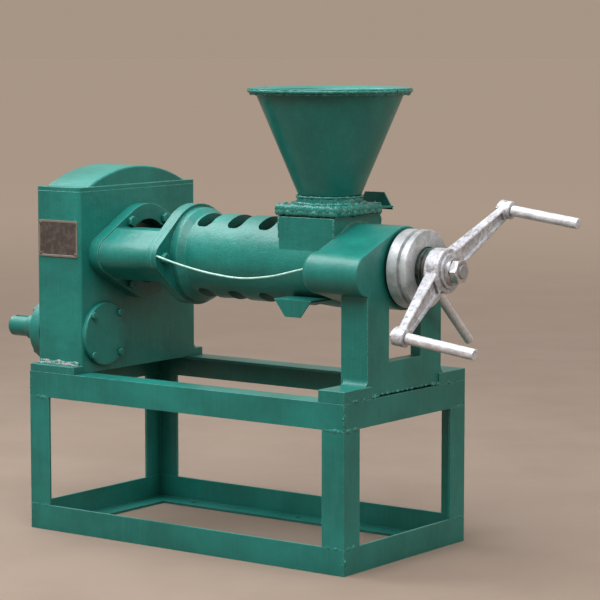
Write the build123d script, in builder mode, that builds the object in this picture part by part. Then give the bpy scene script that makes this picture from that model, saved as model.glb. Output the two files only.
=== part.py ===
from build123d import *
from math import acos, atan2, cos, degrees, pi, radians, sin, sqrt, tan
import os

# Screw oil press on an angle-iron stand.
# Millimetres. +X runs from the gearbox to the handle, +Y to the back, +Z up.
# The origin is on the floor, under the middle of the stand.

os.makedirs("parts", exist_ok=True)

# ---- driving dimensions: stand ----
STAND_LENGTH = 768.0
STAND_WIDTH = 404.0
STAND_HEIGHT = 317.0
ANGLE_LEG = 50.0
ANGLE_THICK = 5.0
ANCHOR_HOLE_D = 12.0
ANCHOR_END_GAP = 112.0
ANCHOR_EDGE_GAP = 25.0

# ---- driving dimensions: gearbox ----
AXIS_Z = 550.0
BOX_END_GAP = 2.0
BOX_LENGTH = 114.0
BOX_WIDTH = 358.0
BOX_TOP = 676.0
BOX_WALL = 10.0
BOX_FLOOR = 12.0
BOX_CORNER = 7.0
FOOT_THICK = 15.0
COVER_PLATE = 8.0
DOME_HALF_CHORD = 150.0
DOME_RISE = 36.0
DOME_WALL = 7.0
DOME_MARGIN = 3.0

# ---- driving dimensions: gear pair ----
GEAR_MODULE = 4.0
GEAR_TEETH = 76
PINION_TEETH = 21
GEAR_FACE = 40.0
PINION_FACE = 46.0
CENTRE_GROWTH = 0.3
BACKLASH = 0.9
PINION_Y = -112.0

# ---- driving dimensions: shafts and bearings ----
MAIN_BEARING_OD = 110.0
MAIN_BEARING_ID = 70.0
MAIN_BEARING_WIDTH = 20.0
INPUT_BEARING_OD = 75.0
INPUT_BEARING_ID = 45.0
INPUT_BEARING_WIDTH = 16.0
BEARING_SHOULDER = 4.0
RUNNING_GAP = 0.05
FIT_GAP = 0.02
INPUT_SHAFT_END = -507.0
STUB_SEAT_R = 21.0
STUB_SEAT_LENGTH = 50.0
STUB_CHAMFER = 2.0
SHAFT_COLLAR_R = 26.0
KEY_WIDTH = 12.0
KEY_HEIGHT = 8.0
KEY_LENGTH = 38.0
KEY_END_GAP = 6.0
CARRIER_D = 130.0
CARRIER_THICK = 27.0
SEAL_BORE_R = 30.0
COVER_DISC_D = 126.0
DISC_THICK = 9.0
HUB_OD = 96.0
TAIL_FLATS = 40.0
TAIL_GAP = 0.3

# ---- driving dimensions: neck (cake housing) ----
FLANGE_THICK = 24.0
REAR_CORE_R = 95.0
REAR_EAR_R = 38.0
REAR_EAR_Y = 117.0
NECK_END = -111.0
FRONT_CORE_R = 100.0
FRONT_EAR_R = 32.0
FRONT_EAR_Y = 106.0
WINDOW_HALF_HEIGHT = 50.0
NECK_BORE_R = 64.0
EAR_BOLT_Y = 113.0
NECK_BOLT_Y = 52.0
NECK_BOLT_Z = 62.0

# ---- driving dimensions: barrel, feed box and head ----
BARREL_R = 83.0
COLLAR_R = 93.0
COLLAR_LENGTH = 15.0
COLLAR_TAPER = 14.0
RING_OD = 130.0
WORM_OD = 68.0
WORM_GAP = 1.0
SLOT_WIDTH = 35.0
SLOT_PITCH = 75.0
SLOT_FIRST_X = -60.0
SLOT_COUNT = 3
SLOT_HALF_ANGLE = 43.0
PRESS_RING_COUNT = 8
PRESS_RING_SLIT = 1.5
FEED_X = 206.0
FEED_BOX_LENGTH = 130.0
FEED_BOX_WIDTH = 156.0
FEED_BOX_TOP = 641.0
FEED_HOLE = 64.0
CHAMBER_R = 38.0
HEAD_FACE_X = 380.0
HEAD_R = 79.0
SHOULDER_R = 40.0
SHOULDER_Y = 120.0
SHOULDER_DROP = 5.0
SHOULDER_LENGTH = 130.0
LEG_DEPTH = 60.0
LEG_FRONT_WALL = 23.0
LEG_SIDE_WALL = 14.0
LEG_HEIGHT = 203.0
LEG_OUTER_Y = 122.0
LEG_INNER_Y = 53.0
SILL_HEIGHT = 63.0
SILL_GAP = 4.0
SILL_GAP_Y0 = -84.0
SILL_GAP_Y1 = 110.0
FRONT_FOOT_THICK = 23.0
FRONT_FOOT_LENGTH = 58.0
FOOT_SINK = 10.0
FOOT_FLARE_R = 13.0
SCREW_BORE_START = 285.0
JOURNAL_GAP = 1.0

# ---- driving dimensions: hopper and gates ----
HOPPER_PLATE_LENGTH = 134.0
HOPPER_PLATE_WIDTH = 148.0
LOWER_PLATE = 11.6
UPPER_PLATE = 11.4
COLLAR_PIPE_R = 63.0
COLLAR_PIPE_HEIGHT = 14.0
HOPPER_THROAT_R = 59.0
HOPPER_TOP_R = 143.0
HOPPER_CONE_Z = 678.0
HOPPER_TOP_Z = 877.0
HOPPER_SHEET = 2.0
RIM_R = 156.0
RIM_LIFT = 4.0
GATE_WIDTH = 86.0
GATE_SHEET = 3.0
GATE_GAP = 0.3
GATE_TIP_WIDTH = 44.0
GATE_TAB_HEIGHT = 33.0
FEED_GATE_TAB_Y = 152.0
FEED_GATE_LENGTH = 114.0
FEED_GATE_TRAVEL = 74.0
FEED_GATE_LOW_Z = 645.0
DRAIN_GATE_Z = 486.5
DRAIN_GATE_TAB_Y = -119.0
DRAIN_GATE_LENGTH = 160.0
DRAIN_HOLE = 66.0
DRAIN_TIP_WIDTH = 35.0

# ---- driving dimensions: adjusting screw, lock nut and handle ----
SCREW_R = 41.0
THREAD_GAP = 0.3
SCREW_BACK = 300.0
HUB_BACK = 447.0
HUB_R = 42.0
HUB_LENGTH = 36.0
HUB_NOSE_R = 33.0
SPIGOT_R = 22.0
STUD_R = 13.5
POCKET_R = 27.5
THRUST_R = 27.0
THRUST_START = 318.0
THRUST_WIDTH = 16.0
JOURNAL_R = 15.0
JOURNAL_END = 352.0
LOCK_NUT_R = 74.0
LOCK_NUT_BACK = 386.0
LOCK_NUT_FRONT = 429.0
LOCK_GROOVE_R = 67.0
LOCK_GROOVE_X = 413.5
LOCK_GROOVE_WIDTH = 6.0
LEVER_X = 417.0
LEVER_ANGLE = -42.3
LEVER_R = 9.0
LEVER_SEAT = 58.0
LEVER_REACH = 226.0
ARM_REACH = 205.0
ARM_ANGLE = 30.4
ARM_ROOT_X = 462.0
ARM_TIP_X = 491.0
ARM_ROOT_WIDTH = 42.0
ARM_TIP_WIDTH = 24.0
ARM_ROOT_DEPTH = 26.0
ARM_TIP_DEPTH = 16.0
ARM_RECESS = 5.0
ARM_RIM = 5.0
TIP_BOSS_R = 17.0
TIP_BOSS_LENGTH = 24.0
GRIP_R = 10.3
GRIP_LENGTH = 145.0
GRIP_DROOP = 7.3
GRIP_STUD_R = 5.0

# ---- driving dimensions: worm ----
WORM_ROOT_FEED = 21.0
WORM_ROOT_MIDDLE = 25.0
WORM_ROOT_PRESS = 28.0
WORM_NECK_R = 24.0
WORM_SHOULDER_R = 25.0
PRESS_ROOT_END = -8.0
MIDDLE_ROOT_START = -4.0
MIDDLE_ROOT_END = 74.0
FEED_ROOT_START = 79.0
FEED_ROOT_END = 255.0
FLIGHT_THICK = 9.0
CONE_GAP = 4.0
CONE_SMALL_R = 32.0
CONE_GROWTH = 6.0
CAKE_RING_WIDTH = 24.0

# ---- driving dimensions: fasteners and small pieces ----
M8, M8_FLATS, M8_HEAD = 8.0, 13.0, 5.3
M12, M12_FLATS, M12_HEAD, M12_NUT = 12.0, 19.0, 7.5, 10.0
BOLT_CLEARANCE = 0.2
COVER_BOLT_CIRCLE_R = 56.0
COVER_BOLT_GRIP = 7.0
PLATE_LENGTH = 102.0
PLATE_HEIGHT = 72.0
PLATE_THICK = 1.5
PLATE_CENTRE_Z = 582.0
RIVET_R = 3.0
RIVET_INSET = 6.0
WIRE_R = 2.1

# ---- driving dimensions: gearbox details ----
REAR_CAP_MARGIN = 15.0
REAR_CAP_BOLT_MARGIN = 9.0
REAR_CAP_BOLT_COUNT = 6
BOSS_WALL = 11.0
MAIN_BEARING_LIP = 7.0
INPUT_BEARING_LIP = 5.0
HOLE_END_GAP = 1.0
DOME_ROUND = 4.0
DISC_CHAMFER = 2.0
DISC_ROUND = 3.0
PLATE_ROUND = 3.0
RIVET_HEIGHT = 1.2
PRESSURE_ANGLE = radians(20)
FLANK_STEPS = 3
RIM_THICK = 14.0
WEB_THICK = 14.0
WEB_HOLE_COUNT = 6
WEB_HOLE_R = 24.0
GEAR_END_PLAY = 1.0

# ---- driving dimensions: neck and barrel details ----
WINDOW_CORNER = 2.5
NECK_STEP = 3.0
NECK_SINK = 4.0
NECK_BOLT_THREAD = 8.0
EAR_HOLE_THREAD = 15.0
EAR_BOLT_THREAD = 14.0
SLOT_CORNER = 13.0
SHOULDER_END_R = 18.0
FEED_BOX_CORNER = 5.0
HEAD_FACE_ROUND = 3.0

# ---- driving dimensions: worm and screw details ----
HEX_FRONT_REACH = 12.0
HEX_BACK_GAP = 10.0
CONE_BACK_LENGTH = 12.0
FLIGHT_SINK = 1.5
WASHER_THICK = 4.0
WASHER_R = 26.0
WASHER_GAP = 0.05
SLIP_GAP = 0.1
NUT_FLATS = 41.0
NUT_THICK = 15.0
NUT_CONE = 2.0
NUT_CORNER_REACH = 3.5
STUD_REACH = 3.0
LOCK_NUT_EDGE = 1.5
LOCK_GROOVE_SLOPE = 2.0

# ---- driving dimensions: handle and wire details ----
ARM_START = 26.0
ARM_ROUND = 4.0
RECESS_ROUND = 3.0
HUB_STEP = 5.0
HUB_ROUND = 3.0
GRIP_ROUND = 1.5
GRIP_NUT_FLATS = 17.0
GRIP_NUT_THICK = 7.0
WIRE_Y = -134.0

# ---- derived places ----
BOX_X0 = BOX_END_GAP - STAND_LENGTH / 2
BOX_X1 = BOX_X0 + BOX_LENGTH
BOX_X = (BOX_X0 + BOX_X1) / 2
GEAR_CENTRES = GEAR_MODULE * (GEAR_TEETH + PINION_TEETH) / 2 + CENTRE_GROWTH
PINION_Z = AXIS_Z - sqrt(GEAR_CENTRES ** 2 - PINION_Y ** 2)
MESH_ANGLE = degrees(atan2(PINION_Z - AXIS_Z, PINION_Y))
FOOT_REACH = (STAND_WIDTH - BOX_WIDTH) / 2
BARREL_START = NECK_END - FLANGE_THICK / 2
HEAD_BACK_X = FEED_X + FEED_BOX_LENGTH / 2
SHOULDER_Z = AXIS_Z - SHOULDER_DROP
SHOULDER_START = HEAD_FACE_X - SHOULDER_LENGTH
WORM_R = WORM_OD / 2
RING_BORE_R = WORM_R + WORM_GAP
CAGE_START = BARREL_START + CAKE_RING_WIDTH
CAGE_END = FEED_X - FEED_BOX_LENGTH / 2
UPPER_PLATE_Z = FEED_BOX_TOP + LOWER_PLATE
COLLAR_PIPE_Z = UPPER_PLATE_Z + UPPER_PLATE
FEED_GATE_Z = UPPER_PLATE_Z - GATE_SHEET - GATE_GAP
GATE_SLOT_WIDTH = GATE_WIDTH + 2 * GATE_GAP
GATE_SLOT_HEIGHT = GATE_SHEET + 2 * GATE_GAP


def across(x, y=0.0, z=0.0):
    """Plane square to X at (x, y, z): local x is +Y and local y is +Z."""
    return Plane(origin=(x, y, z), x_dir=(0, 1, 0), z_dir=(1, 0, 0))


def lathe(y=0.0, z=AXIS_Z):
    """Plane of a turned profile about an axis along X: local x is X, local y is the radius."""
    return Plane(origin=(0, y, z), x_dir=(1, 0, 0), z_dir=(0, -1, 0))


def turned(points, y=0.0, z=AXIS_Z, mode=Mode.ADD):
    """Turn a closed profile of (x, radius) points about the line along X through (y, z)."""
    with BuildSketch(lathe(y, z)) as profile:
        with BuildLine():
            Polyline(*points, close=True)
        make_face()
    revolve(profile.sketch, axis=Axis((0, y, z), (1, 0, 0)), mode=mode)


def pipe(x0, x1, outer_r, inner_r=0.0, y=0.0, z=AXIS_Z, mode=Mode.ADD):
    """Round bar or tube along X from x0 to x1."""
    with BuildSketch(across(x0, y, z)) as section:
        Circle(outer_r)
        if inner_r > 0:
            Circle(inner_r, mode=Mode.SUBTRACT)
    extrude(section.sketch, amount=x1 - x0, mode=mode)


def bolts(seat, spots, diameter, flats, head, shank):
    """Hex-headed bolts: heads stand on the seat plane, shanks reach behind it."""
    with BuildSketch(seat) as heads:
        with Locations(*spots):
            RegularPolygon(radius=flats / 2, side_count=6, major_radius=False)
    extrude(heads.sketch, amount=head)
    with BuildSketch(seat) as shanks:
        with Locations(*spots):
            Circle(diameter / 2)
    extrude(shanks.sketch, amount=-shank)


def bolt_holes(seat, spots, diameter, depth):
    """Clearance holes that go in from the seat plane."""
    with BuildSketch(seat) as holes:
        with Locations(*spots):
            Circle(diameter / 2 + BOLT_CLEARANCE)
    extrude(holes.sketch, amount=-depth, mode=Mode.SUBTRACT)


def circle_spots(radius, count, start=0.0):
    """Points spread evenly on a circle, from an angle in degrees."""
    turns = [radians(start + 360.0 * k / count) for k in range(count)]
    return [(radius * cos(turn), radius * sin(turn)) for turn in turns]


def save(piece, label):
    """Label a finished piece and write its STEP file."""
    piece.part.label = label
    export_step(piece.part, f"parts/{label}.step")


# ---- stand ----
SIDES = ("front", "right", "back", "left")


def angle_profile(flange_up):
    """L section: local x runs inward from the outer face, local y upward from the lower edge."""
    shelf = ANGLE_LEG if flange_up else 0.0
    inner = ANGLE_LEG - ANGLE_THICK if flange_up else ANGLE_THICK
    far = 0.0 if flange_up else ANGLE_LEG
    with BuildLine() as section:
        Polyline((0, shelf), (ANGLE_LEG, shelf), (ANGLE_LEG, inner), (ANGLE_THICK, inner),
                 (ANGLE_THICK, far), (0, far), close=True)
    make_face(section.edges())


for level, low_z, flange_up in (("bottom", 0.0, False), ("top", STAND_HEIGHT - ANGLE_LEG, True)):
    for quarter, side in enumerate(SIDES):
        along = Vector(cos(pi / 2 * quarter), sin(pi / 2 * quarter), 0)
        outward = Vector(along.Y, -along.X, 0)
        length, width = (STAND_LENGTH, STAND_WIDTH) if quarter % 2 == 0 else (STAND_WIDTH, STAND_LENGTH)
        start = outward * (width / 2) - along * (length / 2)
        end = start + along * length
        inner_end = end - (outward + along) * ANGLE_LEG
        inner_start = start - (outward - along) * ANGLE_LEG
        with BuildPart() as rail:
            with BuildSketch(Plane(origin=start + Vector(0, 0, low_z), x_dir=-outward, z_dir=along)):
                angle_profile(flange_up)
            extrude(amount=length)
            with BuildSketch(Plane.XY.offset(low_z)):
                with BuildLine():
                    Polyline(start, end, inner_end, inner_start, close=True)
                make_face()
            extrude(amount=ANGLE_LEG, mode=Mode.INTERSECT)
            if level == "bottom" and quarter % 2 == 0:
                with BuildSketch(Plane.XY.offset(low_z)):
                    hole_y = outward.Y * (width / 2 - ANCHOR_EDGE_GAP)
                    with Locations(*[(k * (length / 2 - ANCHOR_END_GAP), hole_y) for k in (-1, 0, 1)]):
                        Circle(ANCHOR_HOLE_D / 2)
                extrude(amount=ANGLE_THICK, mode=Mode.SUBTRACT)
        save(rail, f"stand_{level}_rail_{side}")

for x_side, y_side, corner in ((-1, -1, "front_left"), (1, -1, "front_right"),
                               (1, 1, "back_right"), (-1, 1, "back_left")):
    outer_x = x_side * STAND_LENGTH / 2
    outer_y = y_side * STAND_WIDTH / 2
    with BuildPart() as stand_leg:
        with BuildSketch(Plane.XY.offset(ANGLE_LEG)):
            with BuildLine():
                Polyline((outer_x, outer_y), (outer_x - x_side * ANGLE_LEG, outer_y),
                         (outer_x - x_side * ANGLE_LEG, outer_y - y_side * ANGLE_THICK),
                         (outer_x - x_side * ANGLE_THICK, outer_y - y_side * ANGLE_THICK),
                         (outer_x - x_side * ANGLE_THICK, outer_y - y_side * ANGLE_LEG),
                         (outer_x, outer_y - y_side * ANGLE_LEG), close=True)
            make_face()
        extrude(amount=STAND_HEIGHT - 2 * ANGLE_LEG)
    save(stand_leg, f"stand_leg_{corner}")

# ---- gearbox ----
CAP_BOLTS = circle_spots(COVER_BOLT_CIRCLE_R, 4, 45)
REAR_CAP_R = MAIN_BEARING_OD / 2 + REAR_CAP_MARGIN
REAR_CAP_BOLTS = circle_spots(MAIN_BEARING_OD / 2 + REAR_CAP_BOLT_MARGIN, REAR_CAP_BOLT_COUNT, 30)
BOSS_DEPTH = MAIN_BEARING_WIDTH + BEARING_SHOULDER
MAIN_BOSS_R = MAIN_BEARING_OD / 2 + BOSS_WALL
INPUT_BOSS_R = INPUT_BEARING_OD / 2 + BOSS_WALL
NECK_BOLTS = [(side * NECK_BOLT_Y, level * NECK_BOLT_Z) for side in (-1, 1) for level in (-1, 1)]
CAP_BOLT_LENGTH = COVER_BOLT_GRIP + DISC_THICK
CARRIER_BOLT_LENGTH = COVER_BOLT_GRIP + CARRIER_THICK
NECK_BOLT_LENGTH = FLANGE_THICK + NECK_BOLT_THREAD

with BuildPart() as gearbox_housing:
    with BuildSketch(Plane.XY.offset(STAND_HEIGHT)):
        with Locations((BOX_X, 0)):
            Rectangle(BOX_LENGTH, BOX_WIDTH)
    extrude(amount=BOX_TOP - STAND_HEIGHT)
    fillet(gearbox_housing.edges().filter_by(Axis.Z), radius=BOX_CORNER)
    with BuildSketch(Plane.XY.offset(STAND_HEIGHT + BOX_FLOOR)):
        with Locations((BOX_X, 0)):
            Rectangle(BOX_LENGTH - 2 * BOX_WALL, BOX_WIDTH - 2 * BOX_WALL)
    extrude(amount=BOX_TOP - STAND_HEIGHT, mode=Mode.SUBTRACT)
    with BuildSketch(Plane.XY.offset(STAND_HEIGHT)):
        with Locations(*[(BOX_X, side * (BOX_WIDTH - BOX_WALL + FOOT_REACH) / 2) for side in (-1, 1)]):
            Rectangle(BOX_LENGTH, BOX_WALL + FOOT_REACH)
    extrude(amount=FOOT_THICK)
    pipe(BOX_X0, BOX_X0 + BOSS_DEPTH, MAIN_BOSS_R)
    pipe(BOX_X1 - BOSS_DEPTH, BOX_X1, MAIN_BOSS_R)
    pipe(BOX_X1 - INPUT_BEARING_WIDTH - BEARING_SHOULDER, BOX_X1, INPUT_BOSS_R, 0, PINION_Y, PINION_Z)
    pipe(BOX_X0, BOX_X0 + MAIN_BEARING_WIDTH, MAIN_BEARING_OD / 2, mode=Mode.SUBTRACT)
    pipe(BOX_X1 - MAIN_BEARING_WIDTH, BOX_X1, MAIN_BEARING_OD / 2, mode=Mode.SUBTRACT)
    pipe(BOX_X0, BOX_X1, MAIN_BEARING_OD / 2 - MAIN_BEARING_LIP, mode=Mode.SUBTRACT)
    pipe(BOX_X1 - INPUT_BEARING_WIDTH, BOX_X1, INPUT_BEARING_OD / 2, 0, PINION_Y, PINION_Z, Mode.SUBTRACT)
    pipe(BOX_X0, BOX_X1, INPUT_BEARING_OD / 2 - INPUT_BEARING_LIP, 0, PINION_Y, PINION_Z, Mode.SUBTRACT)
    bolt_holes(across(BOX_X1, PINION_Y, PINION_Z), CAP_BOLTS, M8, COVER_BOLT_GRIP + HOLE_END_GAP)
    bolt_holes(across(BOX_X0, PINION_Y, PINION_Z), CAP_BOLTS, M8, -(COVER_BOLT_GRIP + HOLE_END_GAP))
    bolt_holes(across(BOX_X0, 0, AXIS_Z), REAR_CAP_BOLTS, M8, -(COVER_BOLT_GRIP + HOLE_END_GAP))
    bolt_holes(across(BOX_X1, 0, AXIS_Z), NECK_BOLTS, M12, NECK_BOLT_THREAD + HOLE_END_GAP)
save(gearbox_housing, "gearbox_housing")

DOME_BASE_Z = BOX_TOP + COVER_PLATE


def dome_arch(half_chord, rise):
    """Segment of a circle standing on the cover plate."""
    with BuildLine() as arch:
        ThreePointArc((-half_chord, DOME_BASE_Z), (0, DOME_BASE_Z + rise), (half_chord, DOME_BASE_Z))
        Line((half_chord, DOME_BASE_Z), (-half_chord, DOME_BASE_Z))
    make_face(arch.edges())


with BuildPart() as gearbox_cover:
    with BuildSketch(Plane.XY.offset(BOX_TOP)):
        with Locations((BOX_X, 0)):
            RectangleRounded(BOX_LENGTH, BOX_WIDTH, BOX_CORNER)
    extrude(amount=COVER_PLATE)
    with BuildSketch(across(BOX_X0 + DOME_MARGIN)):
        dome_arch(DOME_HALF_CHORD, DOME_RISE)
    extrude(amount=BOX_LENGTH - 2 * DOME_MARGIN)
    dome_edges = gearbox_cover.edges().filter_by(GeomType.CIRCLE).group_by(Axis.Z)[-1]
    fillet(dome_edges, radius=DOME_ROUND)
    with BuildSketch(across(BOX_X0 + DOME_MARGIN + DOME_WALL)):
        dome_arch(DOME_HALF_CHORD - 2 * DOME_WALL, DOME_RISE - DOME_WALL)
    extrude(amount=BOX_LENGTH - 2 * DOME_MARGIN - 2 * DOME_WALL, mode=Mode.SUBTRACT)
    with BuildSketch(Plane.XY.offset(BOX_TOP)):
        with Locations((BOX_X, 0)):
            Rectangle(BOX_LENGTH - 2 * DOME_MARGIN - 2 * DOME_WALL, 2 * (DOME_HALF_CHORD - 2 * DOME_WALL))
    extrude(amount=COVER_PLATE, mode=Mode.SUBTRACT)
save(gearbox_cover, "gearbox_cover")

PLATE_Y = -BOX_WIDTH / 2
PLATE_PLANE = Plane(origin=(BOX_X, PLATE_Y, PLATE_CENTRE_Z), x_dir=(1, 0, 0), z_dir=(0, -1, 0))
RIVET_SPOTS = [(x * (PLATE_LENGTH / 2 - RIVET_INSET), z * (PLATE_HEIGHT / 2 - RIVET_INSET))
               for x in (-1, 1) for z in (-1, 1)]

with BuildPart() as blank_plate:
    with BuildSketch(PLATE_PLANE):
        RectangleRounded(PLATE_LENGTH, PLATE_HEIGHT, PLATE_ROUND)
    extrude(amount=PLATE_THICK)
save(blank_plate, "blank_plate")

with BuildPart() as plate_rivets:
    with BuildSketch(PLATE_PLANE.offset(PLATE_THICK)):
        with Locations(*RIVET_SPOTS):
            Circle(RIVET_R)
    extrude(amount=RIVET_HEIGHT)
save(plate_rivets, "plate_rivets")

with BuildPart() as main_bearings:
    for bearing_x in (BOX_X0, BOX_X1 - MAIN_BEARING_WIDTH):
        pipe(bearing_x, bearing_x + MAIN_BEARING_WIDTH, MAIN_BEARING_OD / 2 - FIT_GAP, MAIN_BEARING_ID / 2)
save(main_bearings, "main_bearings")

with BuildPart() as input_bearings:
    for bearing_x in (BOX_X0 - INPUT_BEARING_WIDTH, BOX_X1 - INPUT_BEARING_WIDTH):
        pipe(bearing_x, bearing_x + INPUT_BEARING_WIDTH, INPUT_BEARING_OD / 2 - FIT_GAP,
             INPUT_BEARING_ID / 2, PINION_Y, PINION_Z)
save(input_bearings, "input_bearings")

# Bearing carrier of the input shaft on the outer wall, with a clearance bore round the shaft's collar.
with BuildPart() as input_carrier:
    pipe(BOX_X0 - CARRIER_THICK, BOX_X0, CARRIER_D / 2, 0, PINION_Y, PINION_Z)
    chamfer(input_carrier.edges().filter_by(GeomType.CIRCLE).group_by(Axis.X)[0], DISC_CHAMFER)
    pipe(BOX_X0 - CARRIER_THICK, BOX_X0, SEAL_BORE_R, 0, PINION_Y, PINION_Z, Mode.SUBTRACT)
    pipe(BOX_X0 - INPUT_BEARING_WIDTH, BOX_X0, INPUT_BEARING_OD / 2, 0, PINION_Y, PINION_Z, Mode.SUBTRACT)
    bolt_holes(across(BOX_X0 - CARRIER_THICK, PINION_Y, PINION_Z), CAP_BOLTS, M8, -CARRIER_THICK)
save(input_carrier, "input_carrier")

with BuildPart() as carrier_bolts:
    bolts(across(BOX_X0 - CARRIER_THICK, PINION_Y, PINION_Z).rotated((0, 180, 0)),
          [(-y, z) for y, z in CAP_BOLTS], M8, M8_FLATS, M8_HEAD, CARRIER_BOLT_LENGTH)
save(carrier_bolts, "carrier_bolts")

with BuildPart() as pinion_cover:
    pipe(BOX_X1, BOX_X1 + DISC_THICK, COVER_DISC_D / 2, 0, PINION_Y, PINION_Z)
    fillet(pinion_cover.edges().filter_by(GeomType.CIRCLE).group_by(Axis.X)[-1], radius=DISC_ROUND)
    bolt_holes(across(BOX_X1 + DISC_THICK, PINION_Y, PINION_Z), CAP_BOLTS, M8, DISC_THICK)
save(pinion_cover, "pinion_cover")

with BuildPart() as pinion_cover_bolts:
    bolts(across(BOX_X1 + DISC_THICK, PINION_Y, PINION_Z), CAP_BOLTS, M8, M8_FLATS, M8_HEAD,
          CAP_BOLT_LENGTH)
save(pinion_cover_bolts, "pinion_cover_bolts")

with BuildPart() as rear_cap:
    pipe(BOX_X0 - DISC_THICK, BOX_X0, REAR_CAP_R)
    chamfer(rear_cap.edges().filter_by(GeomType.CIRCLE).group_by(Axis.X)[0], DISC_CHAMFER)
    bolt_holes(across(BOX_X0 - DISC_THICK, 0, AXIS_Z), REAR_CAP_BOLTS, M8, -DISC_THICK)
save(rear_cap, "rear_cap")

with BuildPart() as rear_cap_bolts:
    bolts(across(BOX_X0 - DISC_THICK, 0, AXIS_Z).rotated((0, 180, 0)), [(-y, z) for y, z in REAR_CAP_BOLTS],
          M8, M8_FLATS, M8_HEAD, CAP_BOLT_LENGTH)
save(rear_cap_bolts, "rear_cap_bolts")

# ---- gear pair ----

def involute(angle):
    """Involute function of an angle in radians."""
    return tan(angle) - angle


def gear_outline(teeth, first_tooth_angle):
    """Closed outline of a spur gear, with its first tooth pointing along the given angle in degrees."""
    pitch_r = GEAR_MODULE * teeth / 2
    base_r = pitch_r * cos(PRESSURE_ANGLE)
    tip_r = pitch_r + GEAR_MODULE
    root_r = pitch_r - 1.25 * GEAR_MODULE
    flank_start = max(base_r, root_r)
    half_pitch = pi / (2 * teeth) - BACKLASH / (4 * pitch_r)
    radii = [flank_start + (tip_r - flank_start) * k / FLANK_STEPS for k in range(FLANK_STEPS + 1)]
    halves = [half_pitch + involute(PRESSURE_ANGLE) - involute(acos(min(1.0, base_r / r))) for r in radii]
    left = [(root_r, halves[0])] if root_r < flank_start else []
    left += list(zip(radii, halves))
    points = []
    for tooth in range(teeth):
        centre = radians(first_tooth_angle) + 2 * pi * tooth / teeth
        points += [(r * cos(centre - half), r * sin(centre - half)) for r, half in left]
        points += [(r * cos(centre + half), r * sin(centre + half)) for r, half in reversed(left)]
    return points


GEAR_ROOT_R = GEAR_MODULE * (GEAR_TEETH - 2.5) / 2
RIM_INNER_R = GEAR_ROOT_R - RIM_THICK
HUB_R_GEAR = HUB_OD / 2
GEAR_X = BOX_X

with BuildPart() as main_gear:
    with BuildSketch(across(GEAR_X - GEAR_FACE / 2, 0, AXIS_Z)):
        with BuildLine():
            Polyline(*gear_outline(GEAR_TEETH, MESH_ANGLE), close=True)
        make_face()
        Circle(RIM_INNER_R, mode=Mode.SUBTRACT)
    extrude(amount=GEAR_FACE)
    with BuildSketch(across(GEAR_X - WEB_THICK / 2, 0, AXIS_Z)):
        Circle(RIM_INNER_R + 2)
        with PolarLocations((RIM_INNER_R + HUB_R_GEAR) / 2, WEB_HOLE_COUNT):
            Circle(WEB_HOLE_R, mode=Mode.SUBTRACT)
    extrude(amount=WEB_THICK)
    pipe(BOX_X0 + BOSS_DEPTH + GEAR_END_PLAY, BOX_X1 - BOSS_DEPTH - GEAR_END_PLAY, HUB_R_GEAR)
    pipe(BOX_X0 + GEAR_END_PLAY, BOX_X1 - GEAR_END_PLAY, MAIN_BEARING_ID / 2 - RUNNING_GAP)
    with BuildSketch(across(BOX_X0, 0, AXIS_Z)):
        RegularPolygon(radius=TAIL_FLATS / 2 + TAIL_GAP, side_count=6, major_radius=False)
    extrude(amount=BOX_LENGTH, mode=Mode.SUBTRACT)
save(main_gear, "main_gear")

SHAFT_R = INPUT_BEARING_ID / 2 - RUNNING_GAP
SHAFT_INNER_END = BOX_X1 - 1
SHAFT_TOP = PINION_Z + SHAFT_R
KEY_SINK = KEY_HEIGHT * 0.6
STUB_KEY_X = INPUT_SHAFT_END + KEY_END_GAP + KEY_LENGTH / 2
STUB_SHOULDER_X = INPUT_SHAFT_END + STUB_SEAT_LENGTH
COLLAR_END_X = BOX_X0 - INPUT_BEARING_WIDTH - RUNNING_GAP


def key_slot(centre_x, length, seat_r):
    """Round-ended key outline on the plane of the keyway floor, in a shaft of the given radius."""
    with BuildSketch(Plane.XY.offset(PINION_Z + seat_r - KEY_SINK)) as outline:
        with Locations((centre_x, PINION_Y)):
            SlotOverall(length, KEY_WIDTH)
    return outline.sketch


with BuildPart() as input_shaft:
    turned([(INPUT_SHAFT_END, 0), (INPUT_SHAFT_END, STUB_SEAT_R - STUB_CHAMFER),
            (INPUT_SHAFT_END + STUB_CHAMFER, STUB_SEAT_R), (STUB_SHOULDER_X, STUB_SEAT_R),
            (STUB_SHOULDER_X, SHAFT_COLLAR_R), (COLLAR_END_X, SHAFT_COLLAR_R), (COLLAR_END_X, SHAFT_R),
            (SHAFT_INNER_END, SHAFT_R), (SHAFT_INNER_END, 0)], PINION_Y, PINION_Z)
    extrude(key_slot(STUB_KEY_X, KEY_LENGTH, STUB_SEAT_R), amount=KEY_HEIGHT, mode=Mode.SUBTRACT)
    extrude(key_slot(BOX_X, PINION_FACE - 6, SHAFT_R), amount=KEY_HEIGHT, mode=Mode.SUBTRACT)
save(input_shaft, "input_shaft")

with BuildPart() as pinion_key:
    extrude(key_slot(BOX_X, PINION_FACE - 6, SHAFT_R), amount=KEY_HEIGHT - 1)
save(pinion_key, "pinion_key")

with BuildPart() as pinion:
    with BuildSketch(across(GEAR_X - PINION_FACE / 2, PINION_Y, PINION_Z)):
        with BuildLine():
            Polyline(*gear_outline(PINION_TEETH, MESH_ANGLE + 180 + 180 / PINION_TEETH), close=True)
        make_face()
        Circle(SHAFT_R, mode=Mode.SUBTRACT)
    extrude(amount=PINION_FACE)
    with BuildSketch(Plane.XY.offset(SHAFT_TOP - KEY_SINK)):
        with Locations((BOX_X, PINION_Y)):
            Rectangle(PINION_FACE, KEY_WIDTH)
    extrude(amount=KEY_HEIGHT - 1, mode=Mode.SUBTRACT)
save(pinion, "pinion")

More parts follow.
